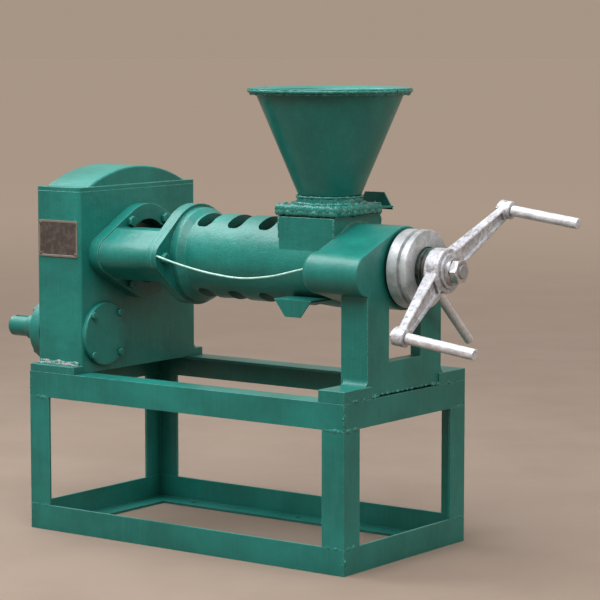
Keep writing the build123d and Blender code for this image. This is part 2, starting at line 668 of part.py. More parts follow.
# ---- neck between gearbox and barrel ----
NECK_START = BOX_X1 + FLANGE_THICK
NECK_BACK = BARREL_START - FLANGE_THICK / 2
EAR_BOLT_SPOTS = [(side * EAR_BOLT_Y, 0) for side in (-1, 1)]


def flange_outline(core_r, ear_r, ear_y, drop=0.0):
    """Outline of a round core with two smaller ears beside it, joined by straight tangents."""
    Circle(core_r)
    with Locations((-ear_y, -drop), (ear_y, -drop)):
        Circle(ear_r)
    make_hull()


with BuildPart() as cake_housing:
    with BuildSketch(across(BOX_X1, 0, AXIS_Z)):
        flange_outline(REAR_CORE_R, REAR_EAR_R, REAR_EAR_Y)
    extrude(amount=FLANGE_THICK)
    with BuildSketch(across(NECK_START - NECK_SINK, 0, AXIS_Z)):
        flange_outline(REAR_CORE_R - NECK_STEP, REAR_EAR_R - NECK_STEP, REAR_EAR_Y)
    with BuildSketch(across(NECK_BACK + NECK_SINK, 0, AXIS_Z)):
        flange_outline(FRONT_CORE_R - NECK_STEP, FRONT_EAR_R - NECK_STEP, FRONT_EAR_Y)
    loft()
    with BuildSketch(across(NECK_BACK, 0, AXIS_Z)):
        flange_outline(FRONT_CORE_R, FRONT_EAR_R, FRONT_EAR_Y)
    extrude(amount=FLANGE_THICK / 2)
    window_x = (NECK_START + NECK_BACK) / 2
    with BuildSketch(Plane(origin=(window_x, 0, AXIS_Z), x_dir=(1, 0, 0), z_dir=(0, -1, 0))):
        with Locations((0, 2 * WINDOW_HALF_HEIGHT), (0, -2 * WINDOW_HALF_HEIGHT)):
            RectangleRounded(NECK_BACK - NECK_START, 2 * WINDOW_HALF_HEIGHT, WINDOW_CORNER)
    extrude(amount=BOX_WIDTH, both=True, mode=Mode.SUBTRACT)
    pipe(BOX_X1, BARREL_START, NECK_BORE_R, mode=Mode.SUBTRACT)
    bolt_holes(across(NECK_START, 0, AXIS_Z), NECK_BOLTS, M12, FLANGE_THICK)
    bolt_holes(across(BARREL_START, 0, AXIS_Z), EAR_BOLT_SPOTS, M12, FLANGE_THICK / 2 + EAR_HOLE_THREAD)
save(cake_housing, "cake_housing")

with BuildPart() as neck_bolts:
    bolts(across(NECK_START, 0, AXIS_Z), NECK_BOLTS, M12, M12_FLATS, M12_HEAD, NECK_BOLT_LENGTH)
save(neck_bolts, "neck_bolts")

with BuildPart() as ear_bolts:
    bolts(across(NECK_END, 0, AXIS_Z), EAR_BOLT_SPOTS, M12, M12_FLATS, M12_NUT,
          FLANGE_THICK + EAR_BOLT_THREAD)
save(ear_bolts, "ear_bolts")

# ---- press barrel with feed box, head and legs ----
TAPER_END = NECK_END + COLLAR_LENGTH + COLLAR_TAPER
SLOT_SPAN = 2 * BARREL_R * sin(radians(SLOT_HALF_ANGLE))
DRAIN_END_Y = DRAIN_GATE_TAB_Y + DRAIN_GATE_LENGTH + 2
JOURNAL_BORE_R = WORM_SHOULDER_R + JOURNAL_GAP
slot_places = [(SLOT_FIRST_X + SLOT_PITCH * k, 0) for k in range(SLOT_COUNT)]

with BuildPart() as press_barrel:
    with BuildSketch(across(HEAD_BACK_X, 0, AXIS_Z)):
        flange_outline(HEAD_R, SHOULDER_R, SHOULDER_Y, SHOULDER_DROP)
    extrude(amount=HEAD_FACE_X - HEAD_BACK_X)
    for side in (-1, 1):
        pipe(SHOULDER_START, HEAD_FACE_X, SHOULDER_R, 0, side * SHOULDER_Y, SHOULDER_Z)
    fillet(press_barrel.edges().filter_by(GeomType.CIRCLE).group_by(Axis.X)[0], radius=SHOULDER_END_R)
    turned([(BARREL_START, 0), (BARREL_START, COLLAR_R), (NECK_END + COLLAR_LENGTH, COLLAR_R),
            (TAPER_END, BARREL_R), (HEAD_BACK_X + 1, BARREL_R), (HEAD_BACK_X + 1, 0)])
    with BuildSketch(across(BARREL_START, 0, AXIS_Z)):
        flange_outline(FRONT_CORE_R, FRONT_EAR_R, FRONT_EAR_Y)
    extrude(amount=FLANGE_THICK / 2)
    with BuildSketch(Plane.XY.offset(AXIS_Z)):
        with Locations((FEED_X, 0)):
            RectangleRounded(FEED_BOX_LENGTH, FEED_BOX_WIDTH, FEED_BOX_CORNER)
    extrude(amount=FEED_BOX_TOP - AXIS_Z)
    wall_x = HEAD_FACE_X - LEG_FRONT_WALL / 2
    with BuildSketch(Plane.XY.offset(STAND_HEIGHT)):
        with Locations(*[(wall_x, side * (LEG_OUTER_Y + LEG_INNER_Y) / 2) for side in (-1, 1)]):
            Rectangle(LEG_FRONT_WALL, LEG_OUTER_Y - LEG_INNER_Y)
        with Locations(*[(HEAD_FACE_X - LEG_DEPTH / 2, side * (LEG_OUTER_Y - LEG_SIDE_WALL / 2))
                         for side in (-1, 1)]):
            Rectangle(LEG_DEPTH, LEG_SIDE_WALL)
    extrude(amount=LEG_HEIGHT)
    with BuildSketch(Plane.XY.offset(STAND_HEIGHT)):
        with Locations((wall_x, 0)):
            Rectangle(LEG_FRONT_WALL, LEG_INNER_Y + LEG_OUTER_Y)
    extrude(amount=SILL_HEIGHT)
    foot_x = (STAND_LENGTH - FRONT_FOOT_LENGTH) / 2
    foot_y0 = LEG_OUTER_Y - FOOT_SINK
    with BuildSketch(Plane.XY.offset(STAND_HEIGHT)):
        with Locations(*[(foot_x, side * (STAND_WIDTH / 2 + foot_y0) / 2) for side in (-1, 1)]):
            Rectangle(FRONT_FOOT_LENGTH, STAND_WIDTH / 2 - foot_y0)
    extrude(amount=FRONT_FOOT_THICK)
    foot_joints = press_barrel.edges().filter_by(Axis.X).filter_by_position(
        Axis.Z, STAND_HEIGHT + FRONT_FOOT_THICK - 0.1, STAND_HEIGHT + FRONT_FOOT_THICK + 0.1)
    leg_joints = [edge for edge in foot_joints if abs(abs(edge.center().Y) - LEG_OUTER_Y) < 0.1]
    fillet(leg_joints, radius=FOOT_FLARE_R)
    with BuildSketch(Plane.XY.offset(STAND_HEIGHT)):
        with Locations((HEAD_FACE_X - LEG_DEPTH / 2, (SILL_GAP_Y0 + SILL_GAP_Y1) / 2)):
            Rectangle(2 * LEG_DEPTH, SILL_GAP_Y1 - SILL_GAP_Y0)
    extrude(amount=SILL_GAP, mode=Mode.SUBTRACT)
    face_edges = press_barrel.edges().filter_by_position(Axis.X, HEAD_FACE_X - 0.1, HEAD_FACE_X + 0.1)
    fillet(face_edges.filter_by_position(Axis.Z, AXIS_Z - 30, AXIS_Z + HEAD_R), radius=HEAD_FACE_ROUND)
    pipe(BARREL_START, CAGE_END, RING_OD / 2, mode=Mode.SUBTRACT)
    pipe(CAGE_END, HEAD_BACK_X, CHAMBER_R, mode=Mode.SUBTRACT)
    pipe(HEAD_BACK_X, SCREW_BORE_START, JOURNAL_BORE_R, mode=Mode.SUBTRACT)
    pipe(SCREW_BORE_START, HEAD_FACE_X, SCREW_R + THREAD_GAP, mode=Mode.SUBTRACT)
    with BuildSketch(Plane.XY.offset(AXIS_Z)):
        with Locations(*slot_places):
            RectangleRounded(SLOT_WIDTH, SLOT_SPAN, SLOT_CORNER)
    extrude(amount=COLLAR_R, both=True, mode=Mode.SUBTRACT)
    with BuildSketch(Plane.XY.offset(AXIS_Z)):
        with Locations((FEED_X, 0)):
            Circle(FEED_HOLE / 2)
    extrude(amount=BARREL_R + 10, mode=Mode.SUBTRACT)
    with BuildSketch(Plane.XY.offset(AXIS_Z)):
        with Locations((FEED_X, 0)):
            Circle(DRAIN_HOLE / 2)
    extrude(amount=-BARREL_R, mode=Mode.SUBTRACT)
    with BuildSketch(Plane.XY.offset(DRAIN_GATE_Z - GATE_GAP)):
        with Locations((FEED_X, (DRAIN_END_Y - BARREL_R) / 2)):
            Rectangle(GATE_SLOT_WIDTH, DRAIN_END_Y + BARREL_R)
    extrude(amount=GATE_SLOT_HEIGHT, mode=Mode.SUBTRACT)
    bolt_holes(across(NECK_END, 0, AXIS_Z), EAR_BOLT_SPOTS, M12, FLANGE_THICK / 2)
save(press_barrel, "press_barrel")

with BuildPart() as press_rings:
    ring_pitch = (CAGE_END - CAGE_START) / PRESS_RING_COUNT
    for k in range(PRESS_RING_COUNT):
        ring_x = CAGE_START + k * ring_pitch
        pipe(ring_x, ring_x + ring_pitch - PRESS_RING_SLIT, RING_OD / 2 - FIT_GAP, RING_BORE_R)
save(press_rings, "press_rings")

CONE_LARGE_R = CONE_SMALL_R + CONE_GROWTH

with BuildPart() as cake_ring:
    turned([(BARREL_START, CONE_LARGE_R + CONE_GAP), (BARREL_START, RING_OD / 2 - FIT_GAP),
            (CAGE_START, RING_OD / 2 - FIT_GAP), (CAGE_START, CONE_SMALL_R + CONE_GAP)])
save(cake_ring, "cake_ring")

# ---- hopper and gates ----
with BuildPart() as hopper_lower_plate:
    with BuildSketch(Plane.XY.offset(FEED_BOX_TOP)):
        with Locations((FEED_X, 0)):
            Rectangle(HOPPER_PLATE_LENGTH, HOPPER_PLATE_WIDTH)
            Circle(FEED_HOLE / 2, mode=Mode.SUBTRACT)
    extrude(amount=LOWER_PLATE)
    feed_gate_start = FEED_GATE_TAB_Y - FEED_GATE_LENGTH - FEED_GATE_TRAVEL - 1
    with BuildSketch(Plane.XY.offset(FEED_GATE_Z - GATE_GAP)):
        with Locations((FEED_X, (feed_gate_start + HOPPER_PLATE_WIDTH / 2) / 2)):
            Rectangle(GATE_SLOT_WIDTH, HOPPER_PLATE_WIDTH / 2 - feed_gate_start)
    extrude(amount=GATE_SLOT_HEIGHT, mode=Mode.SUBTRACT)
save(hopper_lower_plate, "hopper_lower_plate")

with BuildPart() as hopper_base:
    with BuildSketch(Plane.XY.offset(UPPER_PLATE_Z)):
        with Locations((FEED_X, 0)):
            Rectangle(HOPPER_PLATE_LENGTH, HOPPER_PLATE_WIDTH)
            Circle(FEED_HOLE / 2, mode=Mode.SUBTRACT)
    extrude(amount=UPPER_PLATE)
    with BuildSketch(Plane.XY.offset(COLLAR_PIPE_Z)):
        with Locations((FEED_X, 0)):
            Circle(COLLAR_PIPE_R)
            Circle(HOPPER_THROAT_R + 0.3, mode=Mode.SUBTRACT)
    extrude(amount=COLLAR_PIPE_HEIGHT)
save(hopper_base, "hopper_base")

with BuildPart() as hopper:
    with BuildSketch(Plane(origin=(FEED_X, 0, 0), x_dir=(1, 0, 0), z_dir=(0, -1, 0))):
        with BuildLine() as sheet_line:
            Polyline((HOPPER_THROAT_R, COLLAR_PIPE_Z), (HOPPER_THROAT_R, HOPPER_CONE_Z),
                     (HOPPER_TOP_R, HOPPER_TOP_Z), (RIM_R, HOPPER_TOP_Z + RIM_LIFT))
            offset(amount=HOPPER_SHEET, side=Side.LEFT)
        make_face()
    revolve(axis=Axis((FEED_X, 0, 0), (0, 0, 1)))
save(hopper, "hopper")

with BuildPart() as feed_gate:
    with BuildSketch(Plane.XY.offset(FEED_GATE_Z)):
        with Locations((FEED_X, FEED_GATE_TAB_Y - FEED_GATE_LENGTH / 2)):
            Rectangle(GATE_WIDTH, FEED_GATE_LENGTH)
    extrude(amount=GATE_SHEET)
    feed_tab = Plane(origin=(FEED_X, FEED_GATE_TAB_Y, FEED_GATE_LOW_Z), x_dir=(1, 0, 0), z_dir=(0, -1, 0))
    with BuildSketch(feed_tab):
        with BuildLine():
            Polyline((-GATE_WIDTH / 2, 0), (GATE_WIDTH / 2, 0), (GATE_TIP_WIDTH / 2, GATE_TAB_HEIGHT),
                     (-GATE_TIP_WIDTH / 2, GATE_TAB_HEIGHT), close=True)
        make_face()
    extrude(amount=GATE_SHEET)
save(feed_gate, "feed_gate")

with BuildPart() as drain_gate:
    with BuildSketch(Plane.XY.offset(DRAIN_GATE_Z)):
        with Locations((FEED_X, DRAIN_GATE_TAB_Y + DRAIN_GATE_LENGTH / 2)):
            Rectangle(GATE_WIDTH, DRAIN_GATE_LENGTH)
    extrude(amount=GATE_SHEET)
    drain_top_z = DRAIN_GATE_Z + GATE_SHEET
    drain_tab = Plane(origin=(FEED_X, DRAIN_GATE_TAB_Y, drain_top_z), x_dir=(1, 0, 0), z_dir=(0, -1, 0))
    with BuildSketch(drain_tab):
        with BuildLine():
            Polyline((-GATE_WIDTH / 2, 0), (GATE_WIDTH / 2, 0), (DRAIN_TIP_WIDTH / 2, -GATE_TAB_HEIGHT),
                     (-DRAIN_TIP_WIDTH / 2, -GATE_TAB_HEIGHT), close=True)
        make_face()
    extrude(amount=-GATE_SHEET)
save(drain_gate, "drain_gate")

# ---- worm shaft ----
HEX_END = BOX_X1 + HEX_FRONT_REACH
HEX_START = BOX_X0 + HEX_BACK_GAP
CONE_BACK = BARREL_START - CONE_BACK_LENGTH
# Each stretch of flight: low end, high end, pitch, root radius.
FLIGHTS = ((-97.0, -17.0, 34.0, WORM_ROOT_PRESS), (-2.0, 68.0, 42.0, WORM_ROOT_MIDDLE),
           (86.0, 250.0, 54.0, WORM_ROOT_FEED))

with BuildPart() as worm_shaft:
    turned([(HEX_END - 1, 0), (HEX_END - 1, WORM_NECK_R), (CONE_BACK - CONE_BACK_LENGTH, WORM_NECK_R),
            (CONE_BACK, CONE_LARGE_R), (BARREL_START, CONE_LARGE_R), (CAGE_START, CONE_SMALL_R),
            (CAGE_START + 2, WORM_ROOT_PRESS), (PRESS_ROOT_END, WORM_ROOT_PRESS),
            (MIDDLE_ROOT_START, WORM_ROOT_MIDDLE), (MIDDLE_ROOT_END, WORM_ROOT_MIDDLE),
            (FEED_ROOT_START, WORM_ROOT_FEED), (FEED_ROOT_END, WORM_ROOT_FEED),
            (FEED_ROOT_END, WORM_SHOULDER_R), (THRUST_START, WORM_SHOULDER_R), (THRUST_START, JOURNAL_R),
            (JOURNAL_END, JOURNAL_R), (JOURNAL_END, 0)])
    with BuildSketch(across(HEX_START, 0, AXIS_Z)):
        RegularPolygon(radius=TAIL_FLATS / 2, side_count=6, major_radius=False)
    extrude(amount=HEX_END - HEX_START)
    for low_x, high_x, pitch, root_r in FLIGHTS:
        flight_centre = Vector(low_x, 0, AXIS_Z)
        with BuildLine() as flight_path:
            Helix(pitch=pitch, height=high_x - low_x, radius=root_r, center=flight_centre,
                  direction=(1, 0, 0))
        start = flight_path.line @ 0
        flight_height = WORM_R - root_r + FLIGHT_SINK
        with BuildSketch(Plane(origin=start, x_dir=start - flight_centre, z_dir=flight_path.line % 0)):
            with Locations((flight_height / 2 - FLIGHT_SINK, 0)):
                Rectangle(flight_height, FLIGHT_THICK)
        sweep(path=flight_path.line, is_frenet=True)
save(worm_shaft, "worm_shaft")

with BuildPart() as thrust_bearing:
    pipe(THRUST_START, THRUST_START + THRUST_WIDTH, THRUST_R, JOURNAL_R + SLIP_GAP)
save(thrust_bearing, "thrust_bearing")

# ---- adjusting screw, lock nut, handle ----
HUB_FRONT = HUB_BACK + HUB_LENGTH
STUD_END = HUB_FRONT + 2 * WASHER_THICK + NUT_THICK + STUD_REACH
POCKET_END = THRUST_START + THRUST_WIDTH

with BuildPart() as adjusting_screw:
    turned([(SCREW_BACK, POCKET_R), (SCREW_BACK, SCREW_R), (HUB_BACK, SCREW_R), (HUB_BACK, SPIGOT_R),
            (HUB_FRONT - 1, SPIGOT_R), (HUB_FRONT - 1, STUD_R), (STUD_END - 2, STUD_R),
            (STUD_END, STUD_R - 2), (STUD_END, 0), (JOURNAL_END + 1, 0),
            (JOURNAL_END + 1, JOURNAL_R + JOURNAL_GAP), (POCKET_END, JOURNAL_R + JOURNAL_GAP),
            (POCKET_END, POCKET_R)])
save(adjusting_screw, "adjusting_screw")

LEVER_AIM = Vector(0, cos(radians(LEVER_ANGLE)), sin(radians(LEVER_ANGLE)))
LEVER_PLANE = Plane(origin=Vector(LEVER_X, 0, AXIS_Z) + LEVER_AIM * LEVER_SEAT, x_dir=(1, 0, 0),
                    z_dir=LEVER_AIM)

with BuildPart() as lock_nut:
    groove_x0 = LOCK_GROOVE_X - LOCK_GROOVE_WIDTH / 2
    groove_x1 = LOCK_GROOVE_X + LOCK_GROOVE_WIDTH / 2
    bore_r = SCREW_R + THREAD_GAP
    edge_r, edge_x = LOCK_NUT_R - LOCK_NUT_EDGE, LOCK_NUT_FRONT - LOCK_NUT_EDGE
    turned([(LOCK_NUT_BACK, bore_r), (LOCK_NUT_BACK, edge_r),
            (LOCK_NUT_BACK + LOCK_NUT_EDGE, LOCK_NUT_R),
            (groove_x0 - LOCK_GROOVE_SLOPE, LOCK_NUT_R), (groove_x0, LOCK_GROOVE_R),
            (groove_x1, LOCK_GROOVE_R), (groove_x1 + LOCK_GROOVE_SLOPE, LOCK_NUT_R), (edge_x, LOCK_NUT_R),
            (LOCK_NUT_FRONT, edge_r), (LOCK_NUT_FRONT, bore_r + LOCK_NUT_EDGE), (edge_x, bore_r)])
    with BuildSketch(LEVER_PLANE):
        Circle(LEVER_R)
    extrude(amount=LOCK_NUT_R, mode=Mode.SUBTRACT)
save(lock_nut, "lock_nut")

with BuildPart() as lock_nut_lever:
    with BuildSketch(LEVER_PLANE):
        Circle(LEVER_R - FIT_GAP)
    extrude(amount=LEVER_REACH - LEVER_SEAT)
    fillet(lock_nut_lever.edges().sort_by(Axis.Z)[0], radius=LEVER_R - 2)
save(lock_nut_lever, "lock_nut_lever")

GRIP_AIM = Vector(cos(radians(GRIP_DROOP)), 0, -sin(radians(GRIP_DROOP)))
arm_turns = [radians(ARM_ANGLE), radians(ARM_ANGLE + 180)]
arm_aims = [Vector(0, cos(turn), sin(turn)) for turn in arm_turns]
tips = [Vector(ARM_TIP_X, 0, AXIS_Z) + aim * ARM_REACH for aim in arm_aims]


def arm_plane(aim, reach):
    """Plane square to an arm: local x is +X, origin on the arm's middle line at a radius."""
    slide = (reach - ARM_START) / (ARM_REACH - ARM_START)
    centre = Vector(ARM_ROOT_X + (ARM_TIP_X - ARM_ROOT_X) * slide, 0, AXIS_Z) + aim * reach
    return Plane(origin=centre, x_dir=(1, 0, 0), z_dir=aim)


def grip_plane(tip, slide):
    """Plane square to a grip, moved along it from the arm's tip."""
    return Plane(origin=tip + GRIP_AIM * slide, x_dir=(0, 1, 0), z_dir=GRIP_AIM)


def arm_size(reach):
    """Depth and width of an arm at a radius."""
    slide = (reach - ARM_START) / (ARM_REACH - ARM_START)
    return (ARM_ROOT_DEPTH + (ARM_TIP_DEPTH - ARM_ROOT_DEPTH) * slide,
            ARM_ROOT_WIDTH + (ARM_TIP_WIDTH - ARM_ROOT_WIDTH) * slide)


with BuildPart() as handle:
    pipe(HUB_BACK, HUB_FRONT, HUB_NOSE_R)
    pipe(HUB_BACK, HUB_FRONT - HUB_STEP, HUB_R)
    fillet(handle.edges().filter_by(GeomType.CIRCLE).group_by(SortBy.RADIUS)[-1], radius=HUB_ROUND)
    for aim, tip in zip(arm_aims, tips):
        with BuildSketch(arm_plane(aim, ARM_START)):
            RectangleRounded(*arm_size(ARM_START), ARM_ROUND)
        with BuildSketch(arm_plane(aim, ARM_REACH)):
            RectangleRounded(*arm_size(ARM_REACH), ARM_ROUND)
        loft()
        with BuildSketch(grip_plane(tip, -TIP_BOSS_LENGTH / 2)):
            Circle(TIP_BOSS_R)
        extrude(amount=TIP_BOSS_LENGTH)
    for aim, tip in zip(arm_aims, tips):
        for reach in (HUB_R + 8, ARM_REACH - TIP_BOSS_R - 5):
            depth, width = arm_size(reach)
            with BuildSketch(arm_plane(aim, reach)):
                with Locations((depth / 2, 0)):
                    RectangleRounded(2 * ARM_RECESS, width - 2 * ARM_RIM, RECESS_ROUND)
        loft(mode=Mode.SUBTRACT)
        with BuildSketch(grip_plane(tip, -TIP_BOSS_LENGTH)):
            Circle(GRIP_STUD_R)
        extrude(amount=2 * TIP_BOSS_LENGTH, mode=Mode.SUBTRACT)
    pipe(HUB_BACK, HUB_FRONT, SPIGOT_R + FIT_GAP, mode=Mode.SUBTRACT)
save(handle, "handle")

with BuildPart() as grips:
    for tip in tips:
        with BuildSketch(grip_plane(tip, TIP_BOSS_LENGTH / 2)):
            Circle(GRIP_R)
        extrude(amount=GRIP_LENGTH)
    fillet(grips.edges().filter_by(GeomType.CIRCLE), radius=GRIP_ROUND)
    for tip in tips:
        stud_length = TIP_BOSS_LENGTH + GRIP_NUT_THICK + STUD_REACH
        with BuildSketch(grip_plane(tip, TIP_BOSS_LENGTH / 2)):
            Circle(GRIP_STUD_R - FIT_GAP)
        extrude(amount=-stud_length)
save(grips, "grips")

with BuildPart() as grip_nuts:
    for tip in tips:
        with BuildSketch(grip_plane(tip, -TIP_BOSS_LENGTH / 2)):
            RegularPolygon(radius=GRIP_NUT_FLATS / 2, side_count=6, major_radius=False)
            Circle(GRIP_STUD_R, mode=Mode.SUBTRACT)
        extrude(amount=-GRIP_NUT_THICK)
save(grip_nuts, "grip_nuts")

with BuildPart() as handle_washers:
    for k in (0, 1):
        washer_x = HUB_FRONT + k * WASHER_THICK
        pipe(washer_x, washer_x + WASHER_THICK - WASHER_GAP * (1 - k), WASHER_R, STUD_R + SLIP_GAP)
save(handle_washers, "handle_washers")

with BuildPart() as handle_nut:
    nut_x = HUB_FRONT + 2 * WASHER_THICK
    with BuildSketch(across(nut_x, 0, AXIS_Z)):
        RegularPolygon(radius=NUT_FLATS / 2, side_count=6, major_radius=False)
        Circle(STUD_R + FIT_GAP, mode=Mode.SUBTRACT)
    extrude(amount=NUT_THICK)
    corner_r = NUT_FLATS / 2 + NUT_CORNER_REACH
    turned([(nut_x, 0), (nut_x, NUT_FLATS / 2), (nut_x + NUT_CONE, corner_r),
            (nut_x + NUT_THICK - NUT_CONE, corner_r), (nut_x + NUT_THICK, NUT_FLATS / 2 - 0.5),
            (nut_x + NUT_THICK, 0)], mode=Mode.INTERSECT)
save(handle_nut, "handle_nut")

# ---- wire from the neck ear to the head shoulder ----
wire_points = [(-110.3, WIRE_Y, 555.4), (-77.0, WIRE_Y, 546.7), (-27.4, WIRE_Y, 536.8),
               (21.5, WIRE_Y, 529.0), (93.9, WIRE_Y, 522.8), (165.1, WIRE_Y, 531.0),
               (211.8, WIRE_Y, 542.5), (249.3, WIRE_Y, 552.2)]
wire_vectors = [Vector(*point) for point in wire_points]
wire_radii = []
for before, corner, after in zip(wire_vectors, wire_vectors[1:], wire_vectors[2:]):
    half_turn = radians((corner - before).get_angle(after - corner)) / 2
    wire_radii.append(0.45 * min((corner - before).length, (after - corner).length) / tan(half_turn))
print("wire bend radii", [round(radius, 1) for radius in wire_radii])

with BuildPart() as wire:
    with BuildLine() as wire_path:
        FilletPolyline(*wire_points, radius=wire_radii)
    with BuildSketch(Plane(origin=wire_path.line @ 0, z_dir=wire_path.line % 0)):
        Circle(WIRE_R)
    sweep(path=wire_path.line)
wire_length = sum(edge.length for edge in wire_path.edges())
print("wire length", round(wire_length, 1), "volume", round(wire.part.volume, 1),
      "section by length", round(pi * WIRE_R ** 2 * wire_length, 1))
save(wire, "wire")
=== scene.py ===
# %% [markdown]
# # A screw oil press, dressed
# The solids of the press come from CAD as a fixed frame. This notebook gives them their paint, steel and
# dirt. It adds the weld beads that the solids leave out, and puts finer pieces in place of the plain screw,
# bolts and wire. Everything is in metres, with +X along the press towards the crank, +Y to the back and +Z
# up.

# %% Load the frame
from math import pi, radians

import bpy
import numpy as np
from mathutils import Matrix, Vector


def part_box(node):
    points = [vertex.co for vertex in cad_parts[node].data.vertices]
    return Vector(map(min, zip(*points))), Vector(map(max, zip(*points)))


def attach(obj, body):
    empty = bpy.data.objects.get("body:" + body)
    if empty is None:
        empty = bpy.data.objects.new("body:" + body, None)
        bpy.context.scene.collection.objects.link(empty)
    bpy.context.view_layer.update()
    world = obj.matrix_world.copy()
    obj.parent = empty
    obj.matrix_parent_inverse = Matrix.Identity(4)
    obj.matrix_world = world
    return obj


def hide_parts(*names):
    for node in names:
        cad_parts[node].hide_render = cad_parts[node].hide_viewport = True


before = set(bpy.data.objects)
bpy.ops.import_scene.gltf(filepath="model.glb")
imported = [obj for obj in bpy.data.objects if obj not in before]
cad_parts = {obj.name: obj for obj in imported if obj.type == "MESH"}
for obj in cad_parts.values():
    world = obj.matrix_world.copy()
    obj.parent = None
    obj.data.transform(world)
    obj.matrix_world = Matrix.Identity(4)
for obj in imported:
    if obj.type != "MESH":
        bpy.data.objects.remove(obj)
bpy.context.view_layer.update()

# %% [markdown]
# ## The camera
# The press stands a few metres away and is seen with a long lens, so its parallel edges nearly stay parallel.
# An unturned camera looks straight down. The first angle lifts it almost to the level, and the last one turns
# it about the upright, here to look from the front and the crank's end.

# %% Set up the camera
LOOK_DOWN, SWING = 6.25, 36.48
camera = bpy.data.objects.new("camera", bpy.data.cameras.new("camera"))
bpy.context.scene.collection.objects.link(camera)
bpy.context.scene.camera = camera
camera.data.sensor_width = 36.0
camera.data.lens = 148.15
camera.data.clip_end = 400.0
camera.location = (2.9455, -3.8000, 0.9918)
camera.rotation_euler = (radians(90 - LOOK_DOWN), 0.0, radians(SWING))
print("lens", camera.data.lens)

# %% [markdown]
# ## Arithmetic on sockets
# A material is a web of nodes, and most of them only add or multiply. Wrapping a socket in a small class
# lets those be written as ordinary sums, such as `1 - mask * 0.4`, and each operator adds its Math node.

# %% A socket that can be added and multiplied
def operator_pair(operation):
    """The forward and the reflected form of one Math operation."""
    def forward(self, other):
        return self.finish.math(operation, self, other)

    def reflected(self, other):
        return self.finish.math(operation, other, self)
    return forward, reflected


class Signal:
    """One output of a node. Arithmetic on it adds Math nodes to the same finish."""
    __add__, __radd__ = operator_pair("ADD")
    __sub__, __rsub__ = operator_pair("SUBTRACT")
    __mul__, __rmul__ = operator_pair("MULTIPLY")
    __pow__, __rpow__ = operator_pair("POWER")

    def __init__(self, finish, socket):
        self.finish, self.socket = finish, socket


# %% [markdown]
# ## A finish and the nodes in it
# Every other node comes from one method: it takes the node's type, then its settings, then the values or
# links of its sockets. The short methods under it are the handful of textures that paint and steel need.

# %% A finish
MIX_SHARE, MIX_BELOW, MIX_ABOVE, MIX_RESULT = 0, 6, 7, 2    # a Mix node's sockets when it mixes colours


